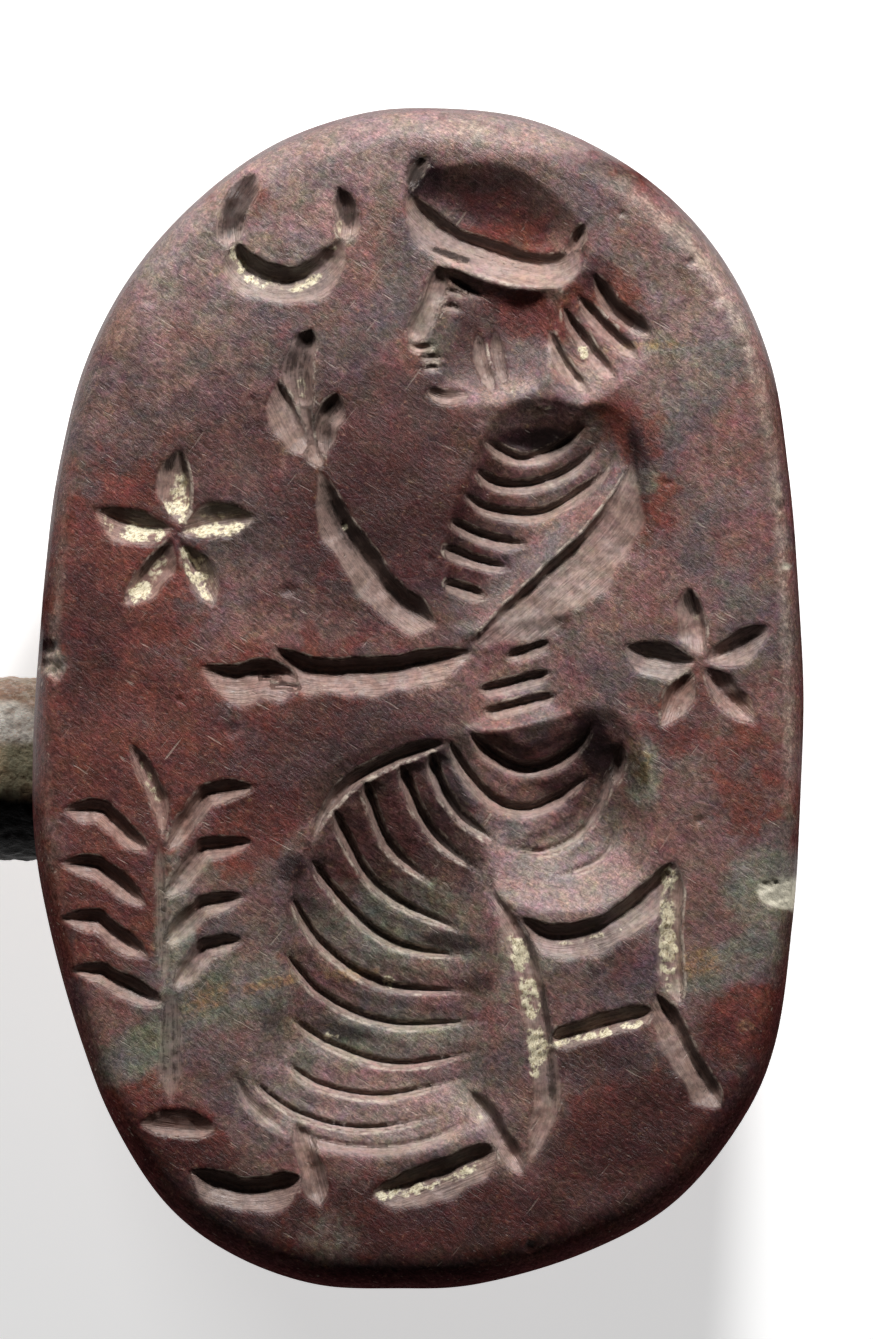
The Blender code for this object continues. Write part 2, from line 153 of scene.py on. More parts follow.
def headdress():
    crown = ([(404, 196), (418, 176), (440, 166), (480, 162), (515, 168), (548, 188), (578, 220),
              (590, 246), (578, 272), (545, 288), (505, 286), (468, 272), (430, 248), (406, 224)],
             (506, 248), 30, 2)
    brim = ([(407, 186), (422, 212), (452, 235), (496, 252), (536, 263), (562, 262), (581, 245)],
            11, 31, 13, 0.25, 0.2)
    front_tip = ([(408, 192), (417, 170), (430, 156)], 7, 9, 9, 0.4, 0.4)
    back_tip = ([(564, 260), (577, 241), (587, 221)], 7, 7, 9, 0.35, 0.4)
    bands = [([(424, 245), (450, 254), (478, 264)], 5, 6, 7, 0.4, 0.4),
             ([(446, 275), (464, 285), (486, 299)], 4, 5, 5, 0.4, 0.4)]
    return [crown], [brim, front_tip, back_tip, *bands]


def head():
    face = ([(433, 268), (470, 272), (520, 285), (560, 290), (566, 330), (550, 372), (520, 398),
             (480, 404), (446, 396), (434, 372), (430, 330), (430, 300)], (512, 318), 22, 2.5)
    brow_to_nose = ([(440, 264), (428, 300), (408, 344)], 16, 9, 10, 0.3, 0.2)
    under_nose = ([(406, 342), (420, 348), (438, 344)], 5, 7, 6, 0.3, 0.5)
    upper_lip = ([(419, 359), (432, 357), (446, 360)], 4, 5, 6, 0.2, 0.5)
    lower_lip = ([(421, 369), (433, 367), (445, 369)], 3, 6, 5, 0.2, 0.5)
    chin = ([(424, 390), (445, 398), (474, 396)], 10, 8, 8, 0.3, 0.5)
    eye = ([(437, 312), (450, 306), (466, 313)], 4, 6, 6, 0.5, 0.5)
    brow = ([(432, 298), (450, 291), (474, 298)], 3, 5, 4, 0.4, 0.5)
    side_locks = [([(477, 330), (482, 362), (494, 396)], 8, 9, 7, 0.35, 0.3),
                  ([(494, 328), (499, 360), (507, 390)], 7, 8, 7, 0.35, 0.35)]
    return [face], [brow_to_nose, under_nose, upper_lip, lower_lip, chin, eye, brow, *side_locks]


def hair():
    """The locks that fan out behind the head, longest and widest at the back."""
    mass = ([(562, 292), (590, 270), (618, 300), (655, 337), (645, 362), (620, 384), (582, 405),
             (556, 392), (541, 362), (545, 322)], (594, 330), 12, 3)
    locks = [((592, 272), (614, 308), (653, 338), 12), ((574, 292), (600, 322), (641, 361), 8),
             ((561, 304), (584, 340), (619, 382), 7), ((548, 326), (563, 360), (589, 395), 6)]
    return [mass], [([root, middle, tip], wide, 11, 10, 0.35, 0.25) for root, middle, tip, wide in locks]


def torso():
    neck = ([(484, 441), (494, 420), (514, 404), (545, 398), (576, 404), (592, 420), (590, 444),
             (560, 460), (526, 464), (500, 456)], (540, 448), 22, 1.5)
    chest = ([(484, 441), (540, 424), (596, 402), (624, 414), (640, 446), (636, 472), (604, 514),
              (546, 570), (486, 626), (456, 632), (442, 606), (440, 560), (452, 510), (470, 465)],
             (582, 462), 22, 2.2)
    pleats = [
        [(484, 440), (520, 458), (556, 448), (588, 424)],
        [(473, 469), (502, 485), (545, 481), (580, 463), (602, 438)],
        [(461, 493), (492, 510), (540, 513), (578, 494), (604, 473), (617, 450)],
        [(449, 520), (485, 537), (530, 546)],
        [(442, 547), (475, 560), (512, 569)],
        [(443, 583), (466, 589), (489, 598)],
    ]
    return [neck, chest], [(pleat, 6, 11, 9, 0.15, 0.35) for pleat in pleats]


def arms():
    upper_arm = ([(466, 648), (530, 590), (600, 522), (636, 456)], 8, 52, 18, 0.35, 0.4)
    raised_forearm = ([(316, 464), (337, 515), (366, 560), (397, 598), (438, 627)], 14, 27, 16, 0.4, 0.15)
    raised_wrist = ([(300, 390), (308, 428), (322, 470)], 9, 13, 12, 0.3, 0.25)
    fingers = [([(312, 328), (300, 370), (306, 424)], 13, 18, 15, 0.2, 0.35),
               ([(338, 392), (320, 424), (318, 462)], 20, 9, 13, 0.25, 0.35)]
    raised_palm = ([(276, 378), (289, 404), (301, 430), (316, 456)], 8, 27, 14, 0.35, 0.3)
    level_forearm = ([(268, 646), (312, 668), (390, 667), (480, 650)], 12, 28, 16, 0.25, 0.3)
    level_hand = ([(195, 666), (235, 674), (270, 670), (306, 680)], 11, 34, 15, 0.5, 0.2)
    thumb = [([(252, 679), (268, 677), (286, 681)], 4, 8, 17, 0.4, 0.4),
             ([(264, 688), (282, 685), (304, 688)], 3, 7, 14, 0.4, 0.4)]
    raised_hand = [raised_wrist, *fingers, raised_palm]
    return [], [upper_arm, raised_forearm, *raised_hand, level_forearm, level_hand, *thumb]


def belt():
    panel = ([(460, 642), (500, 626), (556, 616), (574, 622), (574, 700), (562, 716), (480, 729), (462, 706)],
             (522, 694), 12, 4)
    folds = [([(504, 658), (550, 641)], 5, 12, 8, 0.25, 0.2),
             ([(475, 691), (552, 672)], 5, 14, 9, 0.2, 0.2),
             ([(480, 713), (558, 694)], 5, 13, 9, 0.2, 0.2)]
    return [panel], folds


def hip():
    seat_of_figure = ([(452, 738), (500, 732), (556, 714), (606, 708), (636, 735), (652, 790), (655, 850),
                       (625, 895), (575, 912), (520, 906), (480, 882), (455, 835), (440, 780)],
                      (588, 812), 35, 1.5)
    folds = [
        ([(467, 731), (492, 753), (520, 768), (552, 763), (582, 742), (594, 720)], 7, 12, 10, 0.2, 0.35),
        ([(446, 738), (468, 774), (498, 803), (528, 809), (560, 796), (596, 772)], 6, 12, 9, 0.2, 0.35),
        ([(502, 847), (550, 850), (594, 816), (620, 740)], 4, 6, 6, 0.25, 0.3),
        ([(558, 878), (582, 868), (604, 855), (622, 818)], 3, 5, 5, 0.3, 0.5),
    ]
    shadowed_fold = ([(612, 790), (619, 768), (622, 742)], 8, 7, 7, 0.4, 0.4)
    return [seat_of_figure], [*folds, shadowed_fold]


def skirt():
    cloth = ([(288, 890), (322, 812), (345, 783), (385, 757), (440, 737), (470, 762), (490, 820),
              (500, 880), (501, 1020), (493, 1100), (470, 1136), (400, 1154), (330, 1154), (288, 1138),
              (260, 1112), (244, 1082), (256, 1045), (272, 1000), (281, 940)], (405, 975), 34, 2.4)
    top_edge = ([(312, 846), (326, 812), (352, 784), (394, 760), (449, 742)], 10, 6, 10, 0.35, 0.25)
    hem_corner = ([(230, 1070), (250, 1104), (290, 1140)], 9, 7, 4, 0.4, 0.4)
    hem = ([(290, 1130), (345, 1146), (410, 1145), (474, 1120)], 4, 13, 4, 0.2, 0.25)
    pleats = [
        [(431, 752), (441, 784), (462, 815), (502, 848)],
        [(400, 764), (430, 828), (482, 875)],
        [(364, 780), (388, 842), (436, 888)],
        [(332, 808), (378, 886), (472, 937)],
        [(310, 858), (344, 902), (395, 943), (477, 959)],
        [(290, 896), (323, 945), (384, 984), (480, 993)],
        [(284, 952), (322, 994), (390, 1023), (492, 1021)],
        [(290, 1018), (335, 1046), (400, 1064), (488, 1050)],
        [(283, 1062), (325, 1086), (385, 1095), (472, 1077)],
        [(250, 1079), (300, 1114), (370, 1128), (460, 1111)],
    ]
    depths = [11 - 0.5 * place for place in range(len(pleats))]
    pleat_cuts = [(pleat, 0.5 * depth, 0.9 * depth, depth, 0.12, 0.45)
                  for pleat, depth in zip(pleats, depths)]
    return [cloth], [top_edge, hem_corner, hem, *pleat_cuts]


def feet():
    front_foot = ([(188, 1171), (225, 1185), (262, 1189), (303, 1178)], 12, 25, 15, 0.3, 0.2)
    front_ankle = ([(296, 1122), (307, 1158), (320, 1208)], 15, 13, 11, 0.3, 0.25)
    back_foot = ([(368, 1196), (410, 1184), (452, 1168), (500, 1148)], 14, 28, 15, 0.3, 0.2)
    back_ankle = ([(466, 1090), (488, 1116), (506, 1146), (524, 1176)], 12, 14, 11, 0.3, 0.25)
    return [], [front_foot, front_ankle, back_foot, back_ankle]


def stool():
    seat = ([(513, 916), (556, 936), (602, 926), (642, 900), (680, 858)], 12, 26, 15, 0.25, 0.2)
    left_leg = ([(484, 882), (522, 944), (540, 1025), (548, 1104), (525, 1170)], 13, 19, 10, 0.3, 0.25)
    right_leg_top = ([(679, 862), (676, 915), (676, 960), (681, 1006)], 7, 21, 12, 0.25, 0.2)
    right_leg_foot = ([(654, 992), (675, 1028), (696, 1068), (722, 1110)], 11, 23, 13, 0.25, 0.2)
    crossbar = ([(547, 1043), (600, 1028), (657, 1011)], 14, 12, 12, 0.15, 0.2)
    return [], [seat, left_leg, right_leg_top, right_leg_foot, crossbar]


def plant():
    """A stem with a blade at its top, four bent leaves on each side and a stroke for the ground."""
    blade = ([(126, 740), (146, 774), (159, 806), (162, 842)], 11, 9, 10, 0.35, 0.4)
    stem = ([(158, 836), (161, 900), (164, 990)], 9, 8, 5, 0.25, 0.25)
    trunk = ([(172, 985), (170, 1040), (170, 1106)], 15, 15, 6, 0.4, 0.3)
    ground = ([(136, 1124), (172, 1129), (218, 1131)], 20, 9, 11, 0.4, 0.3)
    left_leaves = [[(60, 810), (98, 811), (108, 817), (150, 854)],
                   [(58, 864), (94, 865), (104, 871), (148, 908)],
                   [(59, 919), (94, 920), (104, 926), (150, 959)],
                   [(69, 971), (100, 972), (112, 979), (167, 1006)]]
    right_leaves = [[(166, 853), (201, 801), (211, 793), (258, 787)],
                    [(160, 903), (199, 855), (209, 848), (255, 842)],
                    [(157, 951), (197, 911), (207, 904), (248, 897)],
                    [(172, 993), (200, 954), (210, 946), (244, 940)]]
    leaves = [(leaf, 11, 14, 12, 0.3, 0.3) for leaf in left_leaves + right_leaves]
    return [], [blade, stem, trunk, ground, *leaves]


def stars():
    """Two stars of five rays. A ray is its keel, from the middle out, and the widths of its walls."""
    left_star = [
        ([(183, 528), (186, 490), (181, 445)], 31, 6),
        ([(174, 529), (136, 526), (93, 508)], 22, 16),
        ([(179, 534), (215, 524), (258, 519)], 21, 16),
        ([(172, 540), (151, 570), (121, 606)], 23, 12),
        ([(180, 544), (196, 571), (214, 608)], 18, 12),
    ]
    right_star = [
        ([(704, 656), (699, 620), (690, 584)], 26, 7),
        ([(697, 662), (658, 658), (623, 645)], 24, 16),
        ([(705, 661), (734, 650), (772, 627)], 16, 17),
        ([(694, 668), (675, 692), (660, 728)], 21, 9),
        ([(703, 668), (725, 696), (756, 726)], 19, 12),
    ]
    return [], [(keel, left, right, 14, 0.4, 0.45) for keel, left, right in left_star + right_star]


MOTIFS = (crescent, headdress, head, hair, torso, arms, belt, hip, skirt, feet, stool, plant, stars)
# The cloth sags a little towards each of its folds.
PLEATED = (torso, hip, skirt)
SAG_REACH = 24
SAG_DEPTH = 5
# The walls of a cut this wide were smoothed.
BROAD = 26
# Damage: chips at the edge of the face, drawn as bowls, and small pits. A fresh chip shows the pale stone.
FRESH_CHIPS = [
    ([(757, 885), (770, 878), (790, 877), (806, 884), (808, 905), (790, 909), (772, 906), (759, 898)],
     (781, 893), 3, 6),
    ([(783, 563), (788, 563), (791, 567), (787, 570), (782, 568)], (787, 567), 2, 2),
]
WORN_CHIPS = [
    ([(34, 640), (46, 635), (58, 641), (61, 652), (50, 657), (36, 656)], (46, 646), 7, 2),
    ([(32, 656), (50, 655), (64, 664), (63, 677), (52, 682), (38, 668)], (48, 664), 6, 3),
]
# An area is (x, y, half width, half height, strength), and its turn in degrees if it has one.
PITS = [
    (780, 505, 7, 5, 0.8), (622, 213, 4, 4, 0.7), (691, 261, 5, 5, 0.8), (715, 297, 9, 8, 0.5),
    (288, 590, 8, 6, 0.6), (232, 730, 9, 8, 0.5), (668, 483, 4, 3, 0.5), (530, 1247, 6, 6, 0.7),
    (345, 525, 4, 4, 0.6), (180, 700, 4, 3, 0.5), (745, 345, 4, 4, 0.6), (430, 560, 4, 3, 0.5),
    (250, 400, 4, 4, 0.4), (700, 820, 5, 4, 0.6), (150, 300, 5, 4, 0.5, 20),
]
PIT_DEPTH = 3.5
# Unevenness of the ground: how far its waves, ripples and crumbs reach
WAVE_REACH, RIPPLE_REACH, CRUMB_REACH = 14, 3.2, 1.6
# The waver of a cut's edges: the length of each wave and its share of the wall
WAVERS = ((70, 0.09), (31, 0.05))


# The depth of the design, on maps with one cell for each unit of the drawing

def blur(field, reach):
    """The field averaged over its neighbourhood, weighted by a bell curve of this reach."""
    radius = int(3 * reach + 1)
    offsets = np.arange(-radius, radius + 1)
    weights = np.exp(-0.5 * (offsets / reach) ** 2)
    weights /= weights.sum()
    for axis in (0, 1):
        field = sum(weight * np.roll(field, offset, axis) for weight, offset in zip(weights, offsets))
    return field


def reach_of(outline, deepest, x, y):
    """How far each point lies from the deepest point, as a share of the way to the outline."""
    spokes = outline - deepest
    angle = np.arctan2(spokes[:, 1], spokes[:, 0])
    order = np.argsort(angle)
    angle = angle[order]
    radius = np.hypot(*spokes.T)[order]
    turn = 2 * math.pi
    angle = np.concatenate([angle - turn, angle, angle + turn])
    edge = np.interp(np.arctan2(y - deepest[1], x - deepest[0]), angle, np.tile(radius, 3))
    return np.hypot(x - deepest[0], y - deepest[1]) / edge


def nearest_on(line, x, y):
    """For each point: its distance from the line, the share of the line at its nearest point, and its side."""
    runs = np.diff(line, axis=0)
    lengths = np.hypot(*runs.T)
    before = np.concatenate([[0], np.cumsum(lengths)])
    distance = np.full(x.shape, np.inf)
    share = np.zeros(x.shape)
    on_left = np.zeros(x.shape, bool)
    for i, (dx, dy) in enumerate(runs):
        px, py = x - line[i, 0], y - line[i, 1]
        t = np.clip((px * dx + py * dy) / lengths[i] ** 2, 0, 1)
        away = np.hypot(px - t * dx, py - t * dy)
        nearer = away < distance
        distance = np.where(nearer, away, distance)
        share = np.where(nearer, (before[i] + t * lengths[i]) / before[-1], share)
        on_left = np.where(nearer, dy * px - dx * py > 0, on_left)
    return distance, share, on_left


def window(points, margin):
    """The part of the map around some points, as a slice and the coordinates in it."""
    low = np.maximum(np.floor(np.min(points, axis=0) - margin).astype(int), 0)
    high = np.minimum(np.ceil(np.max(points, axis=0) + margin).astype(int), MAP_SIZE[::-1])
    part = np.s_[low[1]:high[1], low[0]:high[0]]
    y, x = np.mgrid[part].astype(float)
    return part, x, y


def ruts(distance, share, phase):
    """Fine ridges that run along a stroke, as its tool left them."""
    drift = 1.3 * np.sin(5 * share + phase) + 0.7 * np.sin(17 * share + 3 * phase)
    ridges = ((1.0, 0.45, 1, 1), (0.8, 0.75, -2, 2), (0.5, 1.15, 3, 5))
    return sum(size * np.sin(distance * pitch + drifts * drift + phases * phase)
               for size, pitch, drifts, phases in ridges)


def hollow_of(bowl, random):
    """The part of the map that a bowl touches and its depth there."""
    outline, deepest, depth, fullness = bowl
    part, x, y = window(outline, 14)
    reach = reach_of(smooth(outline, BOWL_STEPS, closed=True), deepest, x, y)
    hollow = depth * (1 - reach ** fullness)
    scale = np.hypot(*np.ptp(outline, axis=0)) / 2
    turn = np.arctan2(y - deepest[1], x - deepest[0]) / 7
    marks = 0.05 * ruts(reach * scale, turn, random.uniform(0, 6))
    return part, hollow + marks * np.clip(hollow / 3, 0, 1)


def groove_of(cut, random):
    """The part of the map that a cut touches, its depth there, and the places across and along the cut.

    The edges of a cut waver, as it was made by hand.
    """
    points, left, right, depth, start, end = cut
    part, x, y = window(points, max(left, right) * 1.2 + 4)
    distance, share, on_left = nearest_on(smooth(points, CURVE_STEPS), x, y)
    taper = np.minimum(np.sin(math.pi / 2 * np.clip(share / start, 0, 1)),
                       np.sin(math.pi / 2 * np.clip((1 - share) / end, 0, 1)))
    length = np.hypot(*np.diff(points, axis=0).T).sum()
    waver = np.zeros(share.shape)
    for wave, size in WAVERS:
        turn = share * length / wave * 2 * math.pi
        left_wave, right_wave = (np.sin(turn + random.uniform(0, 6)) for _ in range(2))
        waver += size * np.where(on_left, left_wave, right_wave)
    reached = distance / (np.where(on_left, left, right) * (1 + waver))
    groove = depth * (taper - np.where(on_left, reached ** 1.35, reached))
    marks = 0.2 * ruts(distance, share, random.uniform(0, 6))
    across = np.where(on_left, -distance, distance) + random.uniform(0, 900)
    return part, groove + marks * np.clip(groove / 3, 0, 1), across, share * length


def deepened(parts):
    """One map from the parts of many: the deepest of them at each place."""
    field = np.zeros(MAP_SIZE)
    for part, depth, *_ in parts:
        field[part] = np.maximum(field[part], depth)
    return field


def spread(areas):
    """From 0 to 1: how far each place lies inside any of some soft-edged ellipses."""
    field = np.zeros(MAP_SIZE)
    for x, y, wide, high, strength, *turn in areas:
        part, columns, rows = window([(x, y)], 1.6 * max(wide, high))
        across, down = columns - x, rows - y
        turn = math.radians(turn[0]) if turn else 0
        along = (across * math.cos(turn) - down * math.sin(turn)) / wide
        aside = (across * math.sin(turn) + down * math.cos(turn)) / high
        inside = np.clip(1.3 - 0.9 * np.hypot(along, aside), 0, 1)
        field[part] = np.maximum(field[part], strength * inside * inside * (3 - 2 * inside))
    return field


def grain(random, reach):
    """Unevenness without a direction, around zero, that reaches this far."""
    field = blur(random.normal(size=MAP_SIZE), reach)
    return field / field.std()


def carve(cuts, random):
    """Maps of all cuts, the broadest first: their depth, and the places across and along them."""
    fine, across, along = np.zeros(MAP_SIZE), np.zeros(MAP_SIZE), np.zeros(MAP_SIZE)
    for cut in sorted(cuts, key=lambda cut: -max(cut[1], cut[2])):
        part, groove, place_across, place_along = groove_of(cut, random)
        if max(cut[1], cut[2]) >= BROAD:
            groove = blur(groove, 2.0)
        deeper = groove > fine[part]
        for field, values in ((fine, groove), (across, place_across), (along, place_along)):
            field[part][deeper] = values[deeper]
    return fine, across, along


def make_maps():
    """The depth of the design below the face, what the finish needs to know of each place, and the cuts."""
    random = np.random.default_rng(SEED)
    drawn = [motif() for motif in MOTIFS]
    cuts = [cut for _, some in drawn for cut in some]
    bowls = deepened(hollow_of(bowl, random) for some, _ in drawn for bowl in some)
    sags = deepened(groove_of((points, SAG_REACH, 6, SAG_DEPTH, start, end), random)
                    for motif in PLEATED for points, left, right, depth, start, end in motif()[1])
    deep = blur(bowls, 1.8) + blur(sags, 1.5)
    fine, across, along = carve(cuts, random)
    fresh = deepened(hollow_of(chip, random) for chip in FRESH_CHIPS)
    chips = np.maximum(fresh, deepened(hollow_of(chip, random) for chip in WORN_CHIPS))
    pits = spread(PITS)
    carved = blur(((deep + fine) > 0.4).astype(float), 2.0)
    waves, ripples, crumbs = (grain(random, reach) for reach in (WAVE_REACH, RIPPLE_REACH, CRUMB_REACH))

    # Painted shade: walls that face away from the key light, towards the bottom of the face and a little to
    # the left, are marked, and the mark bleeds a little across each cut; the finish darkens them.
    down, right = np.gradient(blur(deep + fine, 1.3))
    shaded = np.clip(0.95 * down - 0.3 * right, 0, None)
    bleeding = 0.5 * blur(shaded, 4) * np.clip(fine / 3, 0, 1)
    crumbled = blur((chips > 0.5).astype(float), 1.0)
    worked = np.clip(fine / 4, 0, 1) * (0.25 * ripples + 0.14 * crumbs)
    depth = blur(deep + fine + chips, 0.7) + PIT_DEPTH * pits + 0.9 * crumbled * crumbs
    depth = np.maximum(depth + 0.5 * waves + 0.07 * ripples + worked + 1.0, 0)
    lime = spread(LIME_SPOTS) * blur((deep + fine > 1).astype(float), 1.5)
    lime *= np.clip(1.0 + 0.35 * ripples + 0.35 * crumbs, 0.1, 1.5)
    depth = np.maximum(depth - np.clip(lime, 0, 1) * (1.0 + 0.8 * crumbs), 0)
    maps = {
        "depth": depth,
        "chips": chips,
        "carved": np.maximum(carved, crumbled),
        "pitted": pits,
        "cut": blur(fine, 1.0),
        "across": across,
        "along": along,
        "shaded": shaded + bleeding,
        "crest": np.clip(blur(depth, 2.2) - depth, 0, None),
        "lime": lime,
        "chipped": blur((fresh > 0.5).astype(float), 1.0),
        "stain_and_shade": spread(STAINS_AND_SHADE) * np.maximum(carved, crumbled),
    }
    for name, areas in COLOUR_AREAS.items():
        maps[name] = spread(areas)
    return maps, cuts


def sample(field, x, y):
    """The value of a map at some places, between its cells."""
    column = np.clip(x, 0, MAP_SIZE[1] - 1.001)
    row = np.clip(y, 0, MAP_SIZE[0] - 1.001)
    i, j = row.astype(int), column.astype(int)
    v, u = row - i, column - j
    return ((field[i, j] * (1 - u) + field[i, j + 1] * u) * (1 - v)
            + (field[i + 1, j] * (1 - u) + field[i + 1, j + 1] * u) * v)


# The stone

def lattice(step):
    """Points this far apart over the whole face, each row half a step aside of the last."""
    (left, top), (right, bottom) = FACE_BOX
    rows = []
    for i, y in enumerate(np.arange(top, bottom, step * math.sqrt(3) / 2)):
        x = np.arange(left + step / 2 * (i % 2), right, step)
        rows.append(np.column_stack([x, np.full(len(x), y)]))
    return np.vstack(rows)


def keel_points(cuts):
    """Points along the keel of each cut, no two in neighbouring cells, and the map of their cells."""
    taken = np.zeros(MAP_SIZE, bool)
    kept = []
    for points, *_ in cuts:
        line = smooth(points, CURVE_STEPS)
        length = np.hypot(*np.diff(line, axis=0).T).sum()
        for place in evenly(line, int(length / KEEL_STEP) + 2):
            column, row = np.round(place).astype(int)
            if not taken[row - 1:row + 2, column - 1:column + 2].any():
                taken[row, column] = True
                kept.append(place)
    return np.array(kept), taken


def face_points(maps, cuts, outline):
    """Points inside the outline: close together where the stone is cut, and along the keel of each cut."""
    keels, taken = keel_points(cuts)
    near_keel = (blur(taken.astype(float), 0.7) > 0.02).astype(float)
    near_cut = np.maximum(maps["carved"], maps["pitted"])
    fine, coarse = lattice(FINE_STEP), lattice(COARSE_STEP)
    fine = fine[(sample(near_cut, *fine.T) > 0.01) & (sample(near_keel, *fine.T) < 0.5)]
    coarse = coarse[sample(near_cut, *coarse.T) <= 0.01]
    points = np.vstack([keels, fine, coarse])
    share = reach_of(outline, DRAWING_CENTRE, *points.T)
    return points[share < rim_share(RIM_TURN) - 0.006]


def rim_share(turn):
    return 1 - RIM_SHARE * (1 - math.cos(turn))


def rim_height(share):
    """How far the face has dropped at this share of the way from the centre to the outline."""
    past = np.clip((share - (1 - RIM_SHARE)) / RIM_SHARE, 0, 1)
    return STONE_HIGH[2] - RIM_DROP * (1 - np.sqrt(1 - past ** 2))


def side_rings():
    """The share and height of each ring below the face, from the rim down to the rest flat."""
    rings = []
    for turn in np.linspace(RIM_TURN, 0, RIM_RINGS):
        rings.append((rim_share(turn), STONE_HIGH[2] - RIM_DROP * (1 - math.sin(turn))))
    rings.append((1, (STONE_HIGH[2] - RIM_DROP + GIRDLE_HEIGHT) / 2))
    for turn in np.linspace(math.pi / 2, 0, BACK_RINGS):
        rings.append((REST_SHARE + (1 - REST_SHARE) * math.sin(turn), GIRDLE_HEIGHT * (1 - math.cos(turn))))
    for share in REST_RINGS:
        rings.append((REST_SHARE * share, 0))
    return rings


def unevenness(points, random):
    """From 0 to 1: slow waves over the body of the stone, as hand grinding leaves them."""
    total = np.zeros(len(points))
    for _ in range(WAVES):
        direction = random.normal(size=3)
        direction /= np.linalg.norm(direction)
        turns = points @ direction * 2 * math.pi / random.uniform(*WAVE_LENGTHS)
        total += np.sin(turns + random.uniform(0, 6))
    return np.clip(0.5 + total / (WAVES + 1), 0, 1)


def to_plane(points):
    """Places of the drawing as x and y of the model."""
    return (np.asarray(points, float) - DRAWING_CENTRE) * UNIT


def mesh_of(name, vertices, faces):
    mesh = bpy.data.meshes.new(name)
    mesh.from_pydata(vertices.tolist(), [], faces)
    mesh.update()
    item = bpy.data.objects.new(name, mesh)
    bpy.context.scene.collection.objects.link(item)
    mesh.shade_smooth()
    return item


def side_points(outline, rings, chips):
    """The rings below the face, unevenly ground, and with the chips of the face running down into them."""
    sides = []
    for share, height in rings:
        ring = to_plane(DRAWING_CENTRE + (outline - DRAWING_CENTRE) * share)
        sides.append(np.column_stack([ring, np.full(len(ring), height)]))
    sides = np.vstack(sides)
    below = STONE_HIGH[2] - sides[:, 2]
    random = np.random.default_rng(SEED)
    worn = 1 - WAVE_DEPTH * unevenness(sides, random) * np.clip(below / WAVE_FADE, 0, 1)
    chipped = sample(chips, *(sides[:, :2] / UNIT + DRAWING_CENTRE).T) * DEPTH_UNIT
    chipped *= np.clip(1 - below / RIM_DROP, 0, 1)
    worn -= chipped / np.hypot(*sides[:, :2].T).clip(0.004)
    sides[:, :2] *= worn[:, None]
    sides[:, 2] -= chipped
    return sides


def make_stone(maps, cuts):
    """The stone: its face as a net over all points of the design, then ring below ring to the rest flat."""
    outline = evenly(smooth(OUTLINE, OUTLINE_STEPS, closed=True), OUTLINE_POINTS, closed=True)
    rings = side_rings()
    top_ring = DRAWING_CENTRE + (outline - DRAWING_CENTRE) * rings[0][0]
    flat = np.vstack([top_ring, face_points(maps, cuts, outline)])
    ring_edges = [(i, (i + 1) % OUTLINE_POINTS) for i in range(OUTLINE_POINTS)]
    found, _, faces, *_ = delaunay_2d_cdt([Vector(point) for point in flat], ring_edges, [], 1, 1e-6)
    assert len(found) == len(flat)
    height = rim_height(reach_of(outline, DRAWING_CENTRE, *flat.T))
    height -= sample(maps["depth"], *flat.T) * DEPTH_UNIT
    face = np.column_stack([to_plane(flat), height])
    face[:OUTLINE_POINTS, 2] = rings[0][1]
    vertices = np.vstack([face, side_points(outline, rings[1:], maps["chips"]), [[0, 0, 0]]])

    starts = [0] + [len(face) + k * OUTLINE_POINTS for k in range(len(rings) - 1)]
    faces = [tuple(corners) for corners in faces]
    for upper, lower in zip(starts, starts[1:]):
        faces += [(upper + after, upper + i, lower + i, lower + after) for i, after in ring_edges]
    last, middle = starts[-1], len(vertices) - 1
    faces += [(last + after, last + i, middle) for i, after in ring_edges]
    return mesh_of("carved_stone", vertices, faces)


def lathe_along_x(name, profile, sides):
    """A body turned about the axis of the pin, from (x, radius) pairs, closed at both ends."""
    turns = np.arange(sides) * 2 * math.pi / sides
    rings = [np.column_stack([np.full(sides, x), PIN_AXIS[1] + radius * np.cos(turns),
                              PIN_AXIS[2] + radius * np.sin(turns)]) for x, radius in profile]
    faces = []
    for k in range(len(profile) - 1):
        for i in range(sides):
            after = (i + 1) % sides
            faces.append((k * sides + after, k * sides + i, (k + 1) * sides + i, (k + 1) * sides + after))
    faces.append(tuple(range(sides)))
    faces.append(tuple(reversed(range((len(profile) - 1) * sides, len(profile) * sides))))
    return mesh_of(name, np.vstack(rings), faces)


def drill(stone):
    """The hole across the stone, with the same play round the pin as in the solids."""
    radius = PIN_RADIUS + PIN_CLEARANCE
    reach = STONE_HIGH[0] * 1.5
    cutter = lathe_along_x("drill", [(-reach, radius), (reach, radius)], DRILL_SIDES)
    cut = stone.modifiers.new("hole", "BOOLEAN")
    cut.operation = "DIFFERENCE"
    cut.solver = "EXACT"
    cut.object = cutter
    seen = stone.evaluated_get(bpy.context.evaluated_depsgraph_get())
    mesh = bpy.data.meshes.new_from_object(seen)
    stone.modifiers.clear()
    stone.data = mesh
    mesh.name = stone.name
    bpy.data.objects.remove(cutter, do_unlink=True)


def note(mesh, name, values):
    """Keeps one number for each vertex, which the finish reads."""
    layer = mesh.attributes.new(name, "FLOAT", "POINT")
    layer.data.foreach_set("value", np.asarray(values, np.float32))


